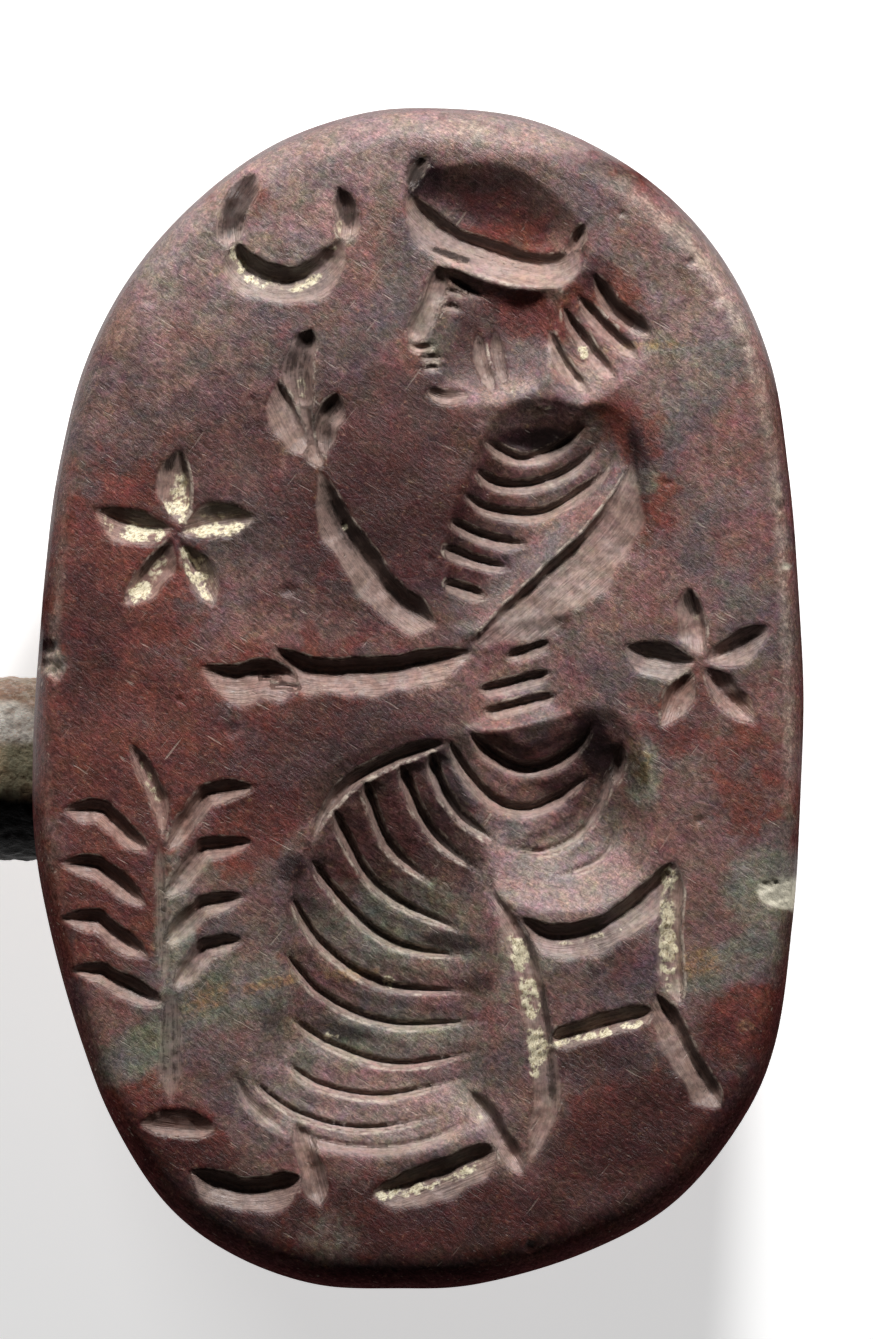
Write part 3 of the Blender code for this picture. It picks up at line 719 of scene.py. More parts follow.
def note_maps(stone, maps):
    """Notes every map of the finish, and "rim", from 0 on the face to 1 at its edge and less below."""
    count = len(stone.data.vertices)
    places = np.empty(count * 3)
    stone.data.vertices.foreach_get("co", places)
    places = places.reshape(count, 3)
    drawing = places[:, :2] / UNIT + DRAWING_CENTRE
    on_face = np.clip((places[:, 2] - (STONE_HIGH[2] - RIM_DROP)) / FACE_FADE, 0, 1)
    for name, field in maps.items():
        if name not in ("depth", "chips"):
            shown = 1 if name in COLOUR_AREAS else on_face
            note(stone.data, name, sample(field, *drawing.T) * shown)
    share = reach_of(smooth(OUTLINE, OUTLINE_STEPS, closed=True), DRAWING_CENTRE, *drawing.T)
    past = np.clip((share - 1 + RIM_SHARE) / RIM_SHARE, 0, 1)
    below = np.clip((places[:, 2] - RIM_FADE[0]) / (RIM_FADE[1] - RIM_FADE[0]), 0.3, 1)
    note(stone.data, "rim", np.where(places[:, 2] > STONE_HIGH[2] - RIM_DROP, past, below))


def pin_profile():
    """The outline of the pin, with its rings closest together near the end that shows."""
    low, high = PIN_LOW[0], PIN_HIGH[0]
    end = [(0, (PIN_RADIUS - PIN_BEVEL) * share) for share in np.linspace(0.04, 1, 16)]
    end += [(PIN_BEVEL * (1 - math.cos(turn)), PIN_RADIUS - PIN_BEVEL * (1 - math.sin(turn)))
            for turn in np.linspace(0.1, math.pi / 2, 7)]
    gap = 0.0001
    shown = np.linspace(low + PIN_BEVEL + gap, low + PIN_SHOWN - gap, 50)
    hidden = np.linspace(low + PIN_SHOWN + gap, high - PIN_BEVEL - gap, 60)
    return ([(low + x, radius) for x, radius in end] + [(x, PIN_RADIUS) for x in (*shown, *hidden)]
            + [(high - x, radius) for x, radius in reversed(end)])


def clamped(value):
    return min(1.0, max(0.0, value))


def make_pin():
    """The pin, eaten by corrosion. A crust clings to one side and ends in a ledge along it, and the other side
    is painted black as shade. Both wear off on the ends. A cream band on the crust next to its ledge is a
    painted highlight."""
    pin = lathe_along_x("bronze_pin", pin_profile(), PIN_SIDES)
    crust, highlight_band, underside_shade = [], [], []
    for vertex in pin.data.vertices:
        place = vertex.co * 1000
        across, up = vertex.co.y - PIN_AXIS[1], vertex.co.z - PIN_AXIS[2]
        turn = math.degrees(math.atan2(across, up))
        slow = noise.fractal(place * 0.6, 0.8, 2.0, 3)
        fast = noise.fractal(place * 3.2, 0.7, 2.0, 4)
        ledge = CRUST_TURNS[0] + 3 * noise.noise(Vector((place.x * 0.9, 3, 7)))
        ledge += 2 * noise.noise(Vector((place.x * 3, 1, 2)))
        outward = math.hypot(across, up) / PIN_RADIUS
        kept = 1 if outward > 0.99 else clamped((outward - 0.8 + 0.2 * fast) / 0.14)
        clinging = kept * clamped((turn - ledge) / 5 + 0.5) * clamped((CRUST_TURNS[1] - turn) / 20)
        crust.append(clinging)
        # Painted highlight: a cream band on the crust next to its ledge, where the glint of the light falls.
        highlight_band.append(clamped((ledge + 25 + 8 * slow - turn) / 9))
        # Painted shade: the lower side of the pin is blackened.
        shade_share = clamped((SHADE_TURNS[1] - turn) / 14 + 0.3 * slow) if turn < 8 else 0
        underside_shade.append(kept * shade_share * clamped((turn - SHADE_TURNS[0]) / 50))
        eaten = EATEN_BARE * (1 - clinging) + EATEN_SLOW * (0.5 - slow) + EATEN_FAST * (0.6 - fast)
        shrink = 1 - max(0.0, eaten) / PIN_RADIUS
        vertex.co.y = PIN_AXIS[1] + across * shrink
        vertex.co.z = PIN_AXIS[2] + up * shrink
        inward = max(0.0, END_SLOW * (0.6 + slow) + END_FAST * (0.5 + fast))
        if vertex.co.x < PIN_LOW[0] + PIN_BEVEL:
            vertex.co.x += inward
        elif vertex.co.x > PIN_HIGH[0] - PIN_BEVEL:
            vertex.co.x -= inward
    pin.data.update()
    for name, values in (("crust", crust), ("highlight_band", highlight_band), ("underside_shade", underside_shade)):
        note(pin.data, name, values)
    return pin


# Finish. Colours are written as they look on a screen, from 0 to 255.

MAUVE = (136, 100, 93)
GREY_MAUVE = (112, 94, 91)
SMOKE = (78, 70, 76)
MAROON = (98, 46, 41)
DEEP_MAROON_AND_SHADE = (64, 30, 29)
DARK_MAROON_AND_SHADE = (34, 18, 22)
BRICK = (114, 60, 48)
RIM_SHADE_RED = (66, 34, 35)
GREY_GREEN = (130, 125, 112)
OCHRE = (152, 120, 88)
PALE_AND_SHEEN = (162, 138, 130)
CUT_WALL = (160, 142, 131)
DIRT_AND_SHADE = (20, 11, 11)
WEAR_AND_HIGHLIGHT = (214, 196, 178)
LIME = (250, 238, 206)
OLD_LIME = (172, 152, 114)
CHIP = (226, 218, 196)
YELLOW_METAL = (212, 188, 148)
OLIVE_METAL = (186, 180, 146)
BROWN_METAL = (96, 78, 54)
RUST = (156, 110, 76)
TAN = (158, 132, 102)
CRUST_HOLLOW = (110, 92, 70)
CREAM_AND_HIGHLIGHT = (250, 242, 228)
UNDERSIDE_SHADE = (5, 5, 5)

# Areas of colour in the stone, in the same form as the pits. Some also carry painted light, as said at each.
COLOUR_AREAS = {
    "red": [
        (120, 580, 90, 140, 0.8), (130, 750, 130, 130, 1), (300, 690, 110, 60, 0.7, 10),
        (110, 900, 80, 90, 0.9, 20), (250, 820, 60, 70, 0.7), (745, 770, 50, 80, 0.6, 10),
        (380, 520, 110, 90, 0.6), (620, 420, 30, 50, 0.7, 20), (685, 725, 50, 40, 0.6),
        (742, 1024, 56, 40, 1, 25), (505, 228, 60, 34, 0.6, -20), (530, 318, 60, 24, 0.9, -15),
        (606, 300, 40, 50, 0.7, 30), (640, 165, 90, 20, 0.6, -30), (650, 510, 44, 50, 0.6, 20),
        (160, 1130, 80, 50, 0.8, -30), (420, 1220, 200, 50, 0.6), (640, 1120, 110, 60, 0.7, 20),
        (240, 205, 40, 30, 0.4), (690, 700, 40, 30, 0.6), (640, 440, 40, 60, 0.5, 20),
    ],
    # Deep maroon stone, and painted shade that darkens the face towards the bottom and in the neck
    "deep": [
        (400, 860, 100, 90, 0.8), (570, 585, 90, 30, 0.3, 42), (480, 350, 60, 60, 0.7),
        (110, 400, 50, 120, 0.4, -10), (390, 500, 140, 150, 1), (330, 760, 140, 60, 0.95, 20),
        (240, 470, 150, 130, 0.6), (90, 640, 50, 90, 0.6), (300, 590, 70, 36, 0.6), (300, 380, 90, 60, 0.4),
        (500, 330, 50, 30, 0.6), (600, 770, 90, 70, 0.5), (650, 1150, 150, 90, 0.9, 30),
        (420, 1240, 320, 70, 1), (190, 1180, 100, 60, 0.8, -35), (380, 880, 130, 90, 0.5),
        (600, 1060, 60, 40, 0.7), (530, 420, 60, 30, 0.9), (480, 195, 90, 30, 0.8, -20),
        (640, 460, 20, 60, 0.6, 10), (600, 960, 60, 40, 0.4),
    ],
    "green": [
        (766, 890, 46, 44, 1), (400, 930, 110, 60, 0.6), (235, 990, 70, 40, 0.8, 15),
        (140, 1050, 60, 26, 1, 30), (645, 482, 18, 14, 0.6), (645, 775, 20, 40, 0.8),
        (590, 840, 60, 30, 0.4, 20), (330, 1240, 40, 40, 0.4), (700, 380, 70, 60, 0.28),
        (52, 664, 16, 18, 0.8), (435, 330, 26, 40, 0.6), (560, 560, 60, 20, 0.4, 42),
        (690, 345, 60, 12, 0.5, 4), (175, 930, 24, 100, 0.7), (385, 1040, 110, 30, 0.7, 5),
        (505, 970, 16, 60, 0.5), (745, 956, 70, 22, 1, 26), (696, 982, 40, 9, 0.8, 14),
        (780, 905, 30, 30, 0.8),
    ],
    "ochre": [
        (265, 985, 44, 7, 0.7, 15), (350, 975, 34, 7, 0.8, 5), (698, 962, 26, 18, 0.75),
        (650, 345, 60, 6, 0.6, 4), (600, 250, 40, 10, 0.3, -30), (745, 700, 30, 8, 0.5, -40),
        (745, 1025, 10, 8, 0.7, 20), (230, 260, 40, 14, 0.3, 40), (640, 760, 12, 30, 0.6, 10),
        (205, 1000, 40, 16, 0.6, 25),
    ],
    # Pale stone, and a painted sheen on the top of the face and rim, on the neck and on the upper ground
    "pale_and_sheen": [
        (230, 200, 170, 110, 0.8, 35), (480, 130, 240, 24, 0.8, -4), (590, 580, 100, 50, 0.35, 42),
        (40, 720, 14, 70, 0.4, 2), (700, 300, 80, 150, 0.5, -25), (380, 1110, 150, 44, 0.9, -5),
        (560, 880, 110, 50, 1, -10), (500, 395, 44, 20, 0.9, 10), (516, 414, 44, 16, 1, 20),
        (455, 365, 20, 40, 0.4), (290, 1060, 60, 40, 0.8, 40), (180, 330, 90, 120, 0.4, 30),
        (760, 870, 30, 30, 0.5), (560, 960, 60, 20, 0.6, 5), (470, 270, 40, 26, 0.6),
        (590, 380, 50, 20, 0.6, -30), (720, 760, 60, 60, 0.45), (100, 330, 60, 200, 0.4, -16),
        (300, 1120, 40, 20, 0.8, -30), (350, 165, 110, 50, 0.6),
    ],
    # Where the rim carries a painted highlight, a pale ridge inside its edge, and less painted shade
    "edge": [
        (720, 300, 90, 170, 1, 26), (790, 520, 30, 170, 1, -4), (800, 760, 24, 160, 0.7, 4),
        (480, 110, 260, 30, 0.3), (50, 600, 40, 100, 0.4, 5), (60, 840, 40, 140, 0.25),
    ],
    # Darker stone, and painted shade in the hollows, along the right of the bowls and along the bottom edge
    "dark_and_shade": [
        (418, 1292, 340, 30, 1), (740, 1190, 100, 40, 0.8, 50), (105, 1180, 90, 40, 0.6, -50),
        (538, 440, 40, 14, 1), (600, 270, 20, 26, 0.5, 30), (640, 1140, 60, 30, 0.4, 20),
        (455, 942, 44, 12, 0.7, -8), (345, 1032, 44, 11, 0.6, -12), (292, 868, 18, 18, 0.8),
        (478, 985, 22, 14, 0.6), (596, 745, 20, 40, 0.9, 20), (425, 175, 20, 30, 0.8, 20),
        (640, 460, 12, 50, 0.6, 10), (540, 735, 90, 26, 0.3, 10), (340, 470, 30, 60, 0.3),
        (450, 330, 44, 64, 0.4), (285, 282, 66, 24, 0.42), (390, 520, 110, 70, 0.42),
        (600, 520, 60, 60, 0.35),
    ],
}
# Where lime has stayed in the cuts
LIME_SPOTS = [
    (181, 500, 11, 28, 1), (168, 508, 11, 16, 0.6, 15), (180, 462, 8, 16, 0.35), (142, 534, 32, 9, 1, -6),
    (112, 522, 14, 8, 0.5, -30), (128, 519, 30, 6, 0.4, -14), (216, 531, 38, 8, 1, 8),
    (222, 514, 28, 8, 0.4, 8), (138, 594, 17, 11, 1, 35), (154, 572, 9, 26, 0.45, -36),
    (195, 574, 8, 33, 1, 28), (206, 568, 9, 28, 0.45, 28), (246, 272, 8, 14, 1, 30),
    (263, 282, 20, 7, 0.66, -25), (290, 286, 22, 7, 0.6), (315, 279, 18, 6, 0.5, 28),
    (339, 220, 5, 18, 0.55), (332, 247, 5, 7, 0.8), (234, 252, 7, 10, 0.6, 10), (388, 983, 7, 7, 1),
    (332, 1037, 9, 7, 0.7), (519, 956, 12, 22, 1, 20), (530, 995, 10, 30, 1, 12), (536, 1052, 12, 30, 1),
    (670, 878, 9, 16, 0.9), (668, 940, 10, 60, 1), (575, 1040, 30, 5, 0.9, 15), (620, 1029, 36, 5, 0.9, 15),
    (388, 1193, 13, 7, 1, 20), (424, 1187, 26, 6, 0.9, 20), (466, 1171, 20, 6, 0.9, 30),
    (595, 936, 50, 5, 0.5, 12), (150, 782, 6, 30, 0.5, 25), (583, 352, 6, 8, 1), (698, 615, 7, 14, 0.4),
    (345, 527, 4, 4, 1), (302, 392, 7, 26, 0.4, 10), (640, 950, 20, 6, 0.4), (480, 1120, 5, 12, 0.4),
    (545, 408, 14, 4, 0.4),
]
# Where the cuts are darkened: partly stains of dirt, partly painted shade on walls and hollows that face away
# from the light
STAINS_AND_SHADE = [
    (239, 190, 28, 10, 1, 47), (346, 206, 11, 24, 1, 18), (306, 339, 11, 14, 1, -20),
    (292, 362, 8, 20, 0.7, -15), (328, 406, 11, 11, 1), (328, 436, 8, 20, 0.6), (170, 461, 6, 14, 0.9, -25),
    (224, 509, 28, 9, 0.9, 6), (130, 513, 32, 7, 0.9, -12), (152, 560, 6, 26, 0.8, -38),
    (208, 556, 10, 18, 0.7, 20), (691, 600, 8, 20, 0.9, 15), (655, 649, 32, 8, 0.9, -18),
    (742, 642, 26, 8, 0.7, 25), (415, 182, 12, 22, 0.9, -25), (455, 182, 50, 18, 0.6, -12),
    (590, 256, 10, 20, 0.6, 30), (548, 440, 34, 16, 0.8), (531, 950, 6, 30, 0.8, 20),
    (547, 1012, 6, 42, 0.8, 8), (552, 1078, 6, 36, 0.7, 4), (690, 930, 6, 50, 0.5),
    (303, 372, 14, 40, 0.55, -5), (322, 425, 14, 28, 0.5, -15), (291, 293, 50, 7, 0.3),
    (238, 205, 16, 40, 1, -25), (452, 255, 28, 4, 0.95, -18), (466, 286, 22, 4, 0.85, -29),
    (500, 262, 70, 6, 0.3, -12), (162, 915, 11, 80, 0.5), (170, 1045, 16, 66, 0.5),
    (640, 455, 12, 44, 0.6, 10), (590, 745, 30, 22, 0.6), (636, 770, 16, 30, 0.7, 10), (47, 645, 13, 9, 1),
    (230, 663, 36, 7, 0.8, -6), (360, 658, 90, 9, 1), (345, 520, 16, 50, 0.7, 28),
    (405, 595, 16, 44, 0.7, 45),
]


def light_of(colour):
    """The linear colour that looks like this on a screen."""
    return tuple(((part / 255 + 0.055) / 1.055) ** 2.4 for part in colour) + (1.0,)


class Tree:
    """A material's nodes, built one call at a time. A value is a number, a tuple or another node's output."""

    def __init__(self, name):
        self.material = bpy.data.materials.new(name)
        self.material.use_nodes = True
        self.nodes = self.material.node_tree.nodes
        self.links = self.material.node_tree.links

    def put(self, socket, value):
        if isinstance(value, bpy.types.NodeSocket):
            self.links.new(value, socket)
        else:
            socket.default_value = value

    def node(self, kind, *values, settings=None, **inputs):
        """A new node. The values go to its first inputs, in order."""
        made = self.nodes.new("ShaderNode" + kind)
        for name, value in (settings or {}).items():
            setattr(made, name, value)
        for socket, value in zip(made.inputs, values):
            self.put(socket, value)
        for name, value in inputs.items():
            self.put(made.inputs[name], value)
        return made

    def math(self, operation, *values, clamp=False):
        settings = {"operation": operation, "use_clamp": clamp}
        return self.node("Math", *values, settings=settings).outputs[0]

    def times(self, product, *values):
        for value in values:
            product = self.math("MULTIPLY", product, value)
        return product

    def fused(self, value, factor, offset, clamp=False):
        """value * factor + offset"""
        return self.math("MULTIPLY_ADD", value, factor, offset, clamp=clamp)

    def between(self, share, first, second):
        return self.fused(share, self.math("SUBTRACT", second, first), first)

    def step(self, value, low, high, to_low=0, to_high=1):
        """Turns a range of values smoothly into another."""
        settings = {"interpolation_type": "SMOOTHSTEP"}
        return self.node("MapRange", value, low, high, to_low, to_high, settings=settings).outputs[0]

    def vector(self, operation, *values, **inputs):
        return self.node("VectorMath", *values, settings={"operation": operation}, **inputs).outputs["Vector"]

    def scaled(self, value, factor):
        """A colour or a place times a number."""
        return self.vector("SCALE", value, Scale=factor)

    def stretched(self, where, degrees, along):
        """Coordinates in which a pattern is drawn out along a direction in the plane of the face."""
        return self.node("Mapping", where, settings={"vector_type": "TEXTURE"},
                         Rotation=(0, 0, math.radians(degrees)), Scale=(along, 1, 1)).outputs[0]

    def noise(self, where, scale, detail, roughness, distortion=0, shift=None, output="Fac"):
        """A noise with scale cells for each millimetre."""
        if shift:
            where = self.vector("ADD", where, shift)
        return self.node("TexNoise", where, Scale=scale, Detail=detail, Roughness=roughness,
                         Distortion=distortion).outputs[output]

    def noted(self, name):
        return self.node("Attribute", settings={"attribute_name": name}).outputs["Fac"]

    def patch(self, name, cloud, ragged):
        """Where a noted area shows, with a ragged edge and gaps that follow a noise."""
        known = self.noted(name)
        loose = self.fused(self.math("SUBTRACT", cloud, 0.5), 2 * ragged, known)
        return self.times(self.step(loose, 0.15, 0.75), self.step(known, 0, 0.25))

    def mix(self, share, first, second):
        """Two colours mixed. A tuple is a colour as it looks on a screen."""
        made = self.node("Mix", share, settings={"data_type": "RGBA"})
        for socket, colour in ((made.inputs[6], first), (made.inputs[7], second)):
            self.put(socket, light_of(colour) if isinstance(colour, tuple) else colour)
        return made.outputs[2]

    def tinted(self, shade, hues, least):
        return self.vector("MULTIPLY", shade, self.vector("ADD", self.scaled(hues, 0.6), (least,) * 3))

    def millimetres(self):
        """The place on the piece, in millimetres."""
        return self.scaled(self.node("TexCoord").outputs["Object"], 1000)

    def surface(self, colour, specular, roughness, relief, strength, depth):
        """Ends the material. Its relief is this deep, in metres."""
        bump = self.node("Bump", Height=relief, Strength=strength, Distance=depth)
        inputs = self.nodes["Principled BSDF"].inputs
        self.put(inputs["Base Color"], colour)
        self.put(inputs["Specular IOR Level"], specular)
        self.put(inputs["Roughness"], roughness)
        self.put(inputs["Normal"], bump.outputs[0])
        return self.material


def clouded(tree, place, mottle, blotches, specks, deep):
    """The colour of the polished stone: mauve, clouded with maroon, grey-green and ochre, with painted sheen
    and painted shade in some of its areas.
    """
    clouds = tree.noise(place, 0.45, 4, 0.55, 0.6)
    smoke = tree.noise(place, 0.95, 4, 0.6, 0.5, shift=(4, 8, 2))
    red = tree.patch("red", mottle, 0.7)
    layers = [
        (tree.step(mottle, 0.46, 0.66, 0, 0.55), MAROON),
        (tree.step(smoke, 0.5, 0.68, 0, 0.5), SMOKE),
        (tree.step(blotches, 0.54, 0.7, 0, 0.25), GREY_GREEN),
        # Pale stone and painted sheen
        (tree.times(tree.patch("pale_and_sheen", mottle, 0.6), 0.55), PALE_AND_SHEEN),
        (tree.times(red, 0.8), MAROON),
        (tree.times(red, tree.step(mottle, 0.42, 0.6, 0.1, 0.7)), BRICK),
        # Deep maroon stone and painted shade
        (tree.times(deep, 0.7), DEEP_MAROON_AND_SHADE),
        (tree.times(tree.patch("green", blotches, 0.45), 0.8), GREY_GREEN),
        (tree.times(tree.patch("ochre", blotches, 0.7), tree.step(specks, 0.35, 0.6, 0.2, 0.9)), OCHRE),
        # Darker stone and painted shade
        (tree.times(tree.patch("dark_and_shade", mottle, 0.4), 0.85), DARK_MAROON_AND_SHADE),
        (tree.step(specks, 0.6, 0.72, 0, 0.3), OCHRE),
    ]
    shade = tree.mix(tree.step(clouds, 0.38, 0.62), MAUVE, GREY_MAUVE)
    for share, colour in layers:
        shade = tree.mix(share, shade, colour)
    hues = tree.noise(place, 6, 4, 0.7, 0.4, shift=(1, 5, 9), output="Color")
    drift = tree.noise(place, 1.3, 3, 0.6, 0.5, shift=(3, 6, 5), output="Color")
    return tree.tinted(tree.tinted(shade, hues, 0.7), drift, 0.69)


def rim_shade_and_highlight(tree, shade, blotches):
    """The colour with painted shade on the rim and upper sides, a dark maroon held back by the pale and lit
    edge areas except at the very edge, a painted highlight as a pale ridge just inside the rim in the lit edge
    areas, and how matt each place is.
    """
    rim, edge = tree.noted("rim"), tree.noted("edge")
    away_from_sheen = tree.fused(tree.noted("pale_and_sheen"), -0.85, 1, clamp=True)
    # Painted shade: the rim and upper sides go dark maroon, held back by the pale and lit edge areas except at
    # the very edge.
    rim_shade = tree.times(away_from_sheen, tree.fused(edge, -0.6, 1), tree.step(rim, 0.2, 0.9))
    rim_shade = tree.math("MAXIMUM", rim_shade, tree.step(rim, 0.68, 0.95))
    shade = tree.mix(tree.times(rim_shade, 0.85), shade, RIM_SHADE_RED)
    # Painted highlight: a pale ridge just inside the rim in the lit edge areas.
    rim_highlight = tree.times(tree.step(rim, 0, 0.35), tree.step(rim, 0.4, 0.75, 1, 0),
                       tree.step(blotches, 0.35, 0.65, 0.1, 0.42), edge)
    return tree.mix(rim_highlight, shade, WEAR_AND_HIGHLIGHT), tree.times(away_from_sheen, tree.step(rim, 0, 0.5))


def grime_and_painted_shade(tree, streaks, cut):
    """How dark each place is painted: painted shade on the walls that face away from the key light, darker
    deeper in the cuts, and the stains, which are partly dirt and partly painted shade.
    """
    known = tree.noted("stain_and_shade")
    stain_and_shade = tree.times(tree.step(tree.fused(streaks, 1.5, known), 0.25, 0.8), tree.step(known, 0, 0.3))
    shaded = tree.times(tree.step(tree.fused(streaks, 1.7, tree.noted("shaded")), 0.5, 1.5),
                        tree.step(cut, 0.5, 6, 0.65, 1))
    return tree.math("MAXIMUM", tree.times(stain_and_shade, 0.9), tree.times(shaded, 0.96))


def jasper():
    """Mottled jasper, scored by the tool in its cuts, darkened in them by dirt and by painted shade, paler on
    their crests, with painted shade and a painted highlight on its rim.
    """
    tree = Tree("mottled_jasper")
    place = tree.millimetres()
    mottle = tree.noise(place, 1.7, 5, 0.6, 0.4)
    blotches = tree.noise(place, 3.6, 4, 0.6, 0.3, shift=(7, 3, 1))
    specks = tree.noise(place, 8, 3, 0.65, shift=(2, 9, 4))
    wrinkles = tree.noise(tree.stretched(place, -38, 2.6), 13, 4, 0.7, 0.7)
    grit = tree.noise(tree.stretched(place, 40, 1.5), 19, 3, 0.65, 0.8)
    hairs = tree.noise(tree.stretched(place, -32, 9), 12, 2, 0.5)
    flecks = tree.noise(tree.stretched(place, -36, 4), 17, 2, 0.6, 0.3)
    cross_hairs = tree.noise(tree.stretched(place, 52, 14), 8, 2, 0.5)
    deep = tree.patch("deep", blotches, 0.5)
    shade = clouded(tree, place, mottle, blotches, specks, deep)
    shade, matt = rim_shade_and_highlight(tree, shade, blotches)

    carved, cut = tree.noted("carved"), tree.noted("cut")
    in_cut = tree.step(cut, 0.5, 3)
    across, along = tree.times(tree.noted("across"), 0.3), tree.times(tree.noted("along"), 0.018)
    scores = tree.noise(tree.node("CombineXYZ", across, along).outputs[0], 1, 4, 0.7, 0.2)
    tones = tree.times(tree.step(wrinkles, 0.3, 0.7, 0.6, 1.45), tree.step(grit, 0.3, 0.7, 0.76, 1.26),
                       tree.step(mottle, 0.3, 0.7, 0.8, 1.2), tree.step(specks, 0.3, 0.7, 0.82, 1.18))
    cut_tones = tree.times(tree.step(scores, 0.3, 0.7, 0.84, 1.22), tree.step(specks, 0.35, 0.6, 0.75, 1.12))
    lift = tree.fused(carved, 0.15, tree.fused(in_cut, 0.25, 1))
    shade = tree.mix(tree.times(in_cut, 0.4), shade, CUT_WALL)
    shade = tree.scaled(shade, tree.times(tree.between(in_cut, tones, cut_tones), lift))

    scratched = tree.math("MAXIMUM", tree.step(hairs, 0.68, 0.75), tree.step(cross_hairs, 0.71, 0.77))
    worn = tree.math("MAXIMUM", tree.times(scratched, 0.35), tree.step(flecks, 0.63, 0.78, 0, 0.24))
    shade = tree.mix(tree.times(worn, tree.fused(deep, -0.5, 1)), shade, WEAR_AND_HIGHLIGHT)
    chipped = tree.times(tree.noted("chipped"), tree.step(specks, 0.28, 0.5, 0.65, 1))
    shade = tree.mix(chipped, shade, CHIP)
    # Painted shade and dirt: the shaded walls and the stains go towards a dark dirt colour that keeps a little
    # of the stone's own.
    grime_and_shade = grime_and_painted_shade(tree, tree.math("SUBTRACT", tree.math("ADD", specks, scores), 1), cut)
    shade = tree.mix(grime_and_shade, shade, tree.mix(0.5, DIRT_AND_SHADE, tree.scaled(shade, 0.3)))
    rubbed = tree.step(tree.noise(place, 3, 4, 0.7), 0.42, 0.62, 0.05, 1)
    crest = tree.step(tree.noted("crest"), 0.35, 1, 0, 0.9)
    shade = tree.mix(tree.times(crest, rubbed), shade, WEAR_AND_HIGHLIGHT)
    lime = tree.times(tree.noted("lime"), tree.step(specks, 0.3, 0.6, 0.35, 1.25),
                      tree.step(grime_and_shade, 0.4, 1, 1, 0.6))
    lime_colour = tree.mix(tree.step(grit, 0.32, 0.56), OLD_LIME, LIME)
    shade = tree.mix(tree.step(lime, 0.3, 0.85), shade, lime_colour)
    # The pits are darkened with the same dark colour as the dirt and the painted shade.
    shade = tree.mix(tree.step(tree.noted("pitted"), 0.3, 0.8, 0, 0.6), shade, DIRT_AND_SHADE)

    roughness = tree.fused(carved, 0.04, tree.step(mottle, 0.3, 0.7, 0.34, 0.46))
    ground = tree.fused(wrinkles, 0.7, tree.times(grit, 0.4))
    relief = tree.fused(scratched, -0.25, tree.between(in_cut, ground, tree.times(scores, 1.6)))
    return tree.surface(shade, tree.fused(matt, -0.5, 0.5), roughness, relief, 1, 0.00003)


def bronze():
    """Old bronze: olive metal, with a rubbed crust of tan and cream on one side, a painted highlight in a
    cream band on it, and black painted shade on the other side.
    """
    tree = Tree("corroded_bronze")
    place = tree.millimetres()
    patches = tree.noise(place, 0.9, 5, 0.65, 0.4)
    crumbs = tree.noise(place, 4, 5, 0.7)
    specks = tree.noise(tree.stretched(place, -20, 2), 12, 3, 0.7)
    drawn = tree.noise(tree.stretched(place, 25, 2.5), 5, 3, 0.6, 0.4)
    underside_shade = tree.noted("underside_shade")
    metal = tree.mix(tree.step(patches, 0.4, 0.6), YELLOW_METAL, OLIVE_METAL)
    metal = tree.mix(tree.step(crumbs, 0.45, 0.3), metal, BROWN_METAL)
    crust = tree.mix(tree.step(patches, 0.42, 0.58), RUST, TAN)
    crust = tree.mix(tree.step(crumbs, 0.46, 0.6, 0, 0.35), crust, CREAM_AND_HIGHLIGHT)
    # Painted highlight: the noted band goes to cream.
    highlight_band = tree.times(tree.noted("highlight_band"), tree.step(drawn, 0.35, 0.5, 0.5, 1))
    crust = tree.mix(highlight_band, crust, CREAM_AND_HIGHLIGHT)
    crust = tree.mix(tree.step(crumbs, 0.4, 0.28, 0, 0.7), crust, CRUST_HOLLOW)
    # Painted shade: the lower side goes to black, and is less glossy.
    shade = tree.mix(underside_shade, tree.mix(tree.noted("crust"), metal, crust), UNDERSIDE_SHADE)
    shade = tree.scaled(shade, tree.step(specks, 0.3, 0.7, 0.7, 1.3))
    roughness = tree.step(crumbs, 0.3, 0.7, 0.36, 0.55)
    relief = tree.fused(specks, 0.3, crumbs)
    return tree.surface(shade, tree.fused(underside_shade, -0.42, 0.5), roughness, relief, 0.8, 0.00008)


# Floor, light and camera

# The middle and the height of the frame, in units of the drawing
FRAME_CENTRE = (436.5, 669.5)
FRAME_HEIGHT = 1339
LENS = 700
SENSOR = 36
FLOOR_SIZE = 1.2
FLOOR_GLOW = 0.6
WORLD_LIGHT = 0.008
# Each light: its name, place, diameter and power
LIGHTS = (
    ("key", (0.018, 0.082, 0.066), 0.014, 0.112),
    ("fill", (-0.1, 0.1, 0.7), 0.5, 0.01),
    ("side", (-0.05, 0.08, 0.045), 0.03, 0.034),
)


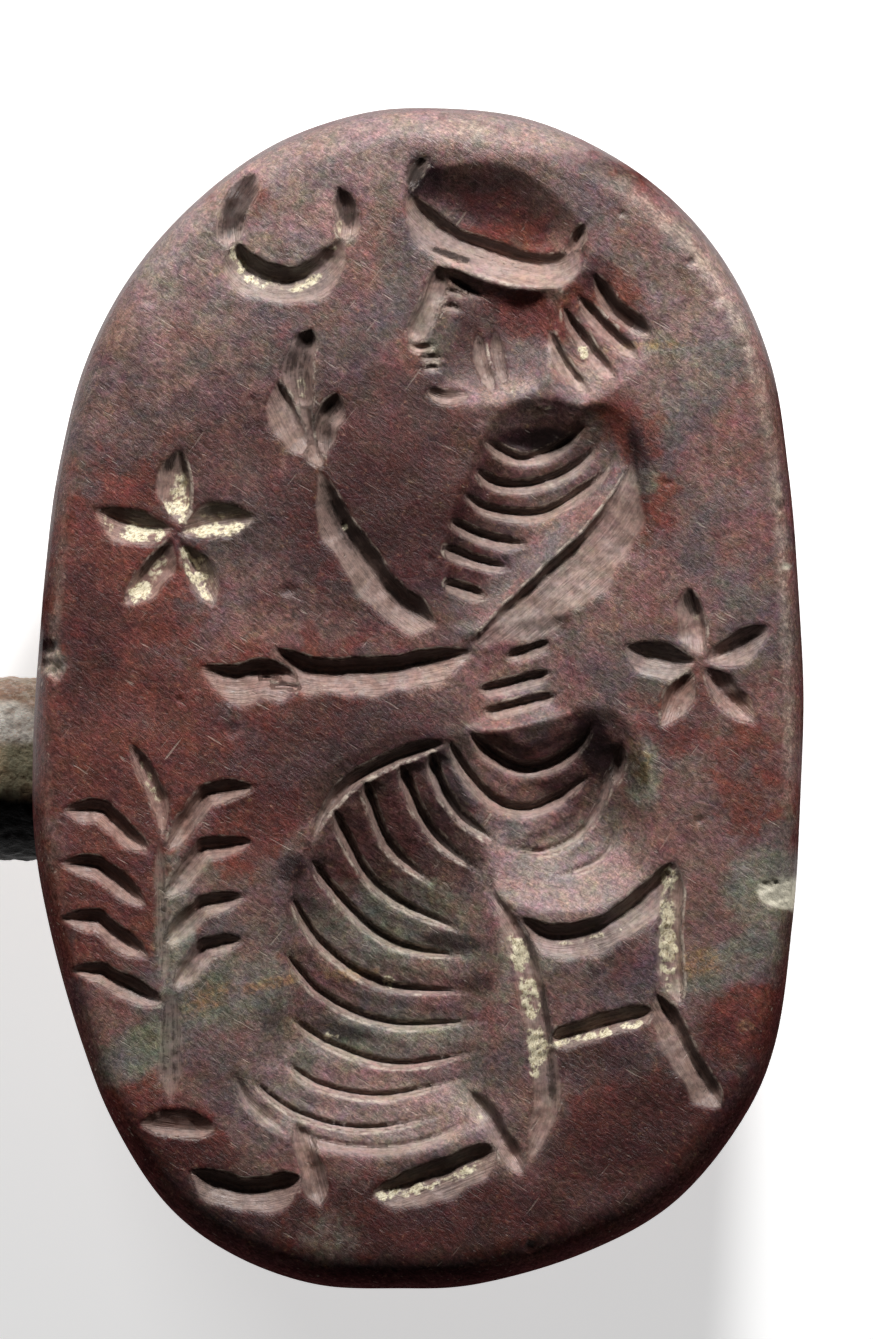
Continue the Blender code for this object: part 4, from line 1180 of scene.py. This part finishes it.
def make_floor():
    bpy.ops.mesh.primitive_plane_add(size=FLOOR_SIZE, location=(0, 0, 0))
    floor = bpy.context.object
    floor.name = "floor"
    paper = bpy.data.materials.new("pale_floor")
    paper.use_nodes = True
    shader = paper.node_tree.nodes["Principled BSDF"]
    shader.inputs["Base Color"].default_value = (0.92, 0.92, 0.91, 1)
    shader.inputs["Roughness"].default_value = 0.95
    shader.inputs["Emission Color"].default_value = (1, 1, 1, 1)
    shader.inputs["Emission Strength"].default_value = FLOOR_GLOW
    floor.data.materials.append(paper)


def light_scene():
    target = Vector((0, 0, STONE_HIGH[2]))
    for name, place, size, power in LIGHTS:
        data = bpy.data.lights.new(name, "AREA")
        data.shape = "DISK"
        data.size = size
        data.energy = power
        lamp = bpy.data.objects.new(name, data)
        bpy.context.scene.collection.objects.link(lamp)
        lamp.location = place
        lamp.rotation_euler = (target - Vector(place)).to_track_quat("-Z", "Y").to_euler()
    world = bpy.data.worlds.new("studio")
    world.use_nodes = True
    background = world.node_tree.nodes["Background"]
    background.inputs["Color"].default_value = (1, 1, 1, 1)
    background.inputs["Strength"].default_value = WORLD_LIGHT
    bpy.context.scene.world = world
    bpy.context.scene.view_settings.view_transform = "Standard"


def make_camera():
    data = bpy.data.cameras.new("camera")
    data.lens = LENS
    data.sensor_fit = "VERTICAL"
    data.sensor_height = SENSOR
    data.sensor_width = SENSOR
    data.clip_start = 0.001
    camera = bpy.data.objects.new("camera", data)
    bpy.context.scene.collection.objects.link(camera)
    x, y = to_plane(FRAME_CENTRE)
    seen_height = FRAME_HEIGHT * -UNIT[1]
    camera.location = (x, y, STONE_HIGH[2] + seen_height * LENS / SENSOR)
    bpy.context.scene.camera = camera


def main():
    maps, cuts = make_maps()
    stone = make_stone(maps, cuts)
    drill(stone)
    note_maps(stone, maps)
    stone.data.materials.append(jasper())
    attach(stone, "root")
    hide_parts("seal_stone")
    pin = make_pin()
    pin.data.materials.append(bronze())
    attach(pin, "root")
    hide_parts("suspension_pin")
    make_floor()
    light_scene()
    make_camera()
    print("stone triangles", sum(len(face.vertices) - 2 for face in stone.data.polygons))


main()
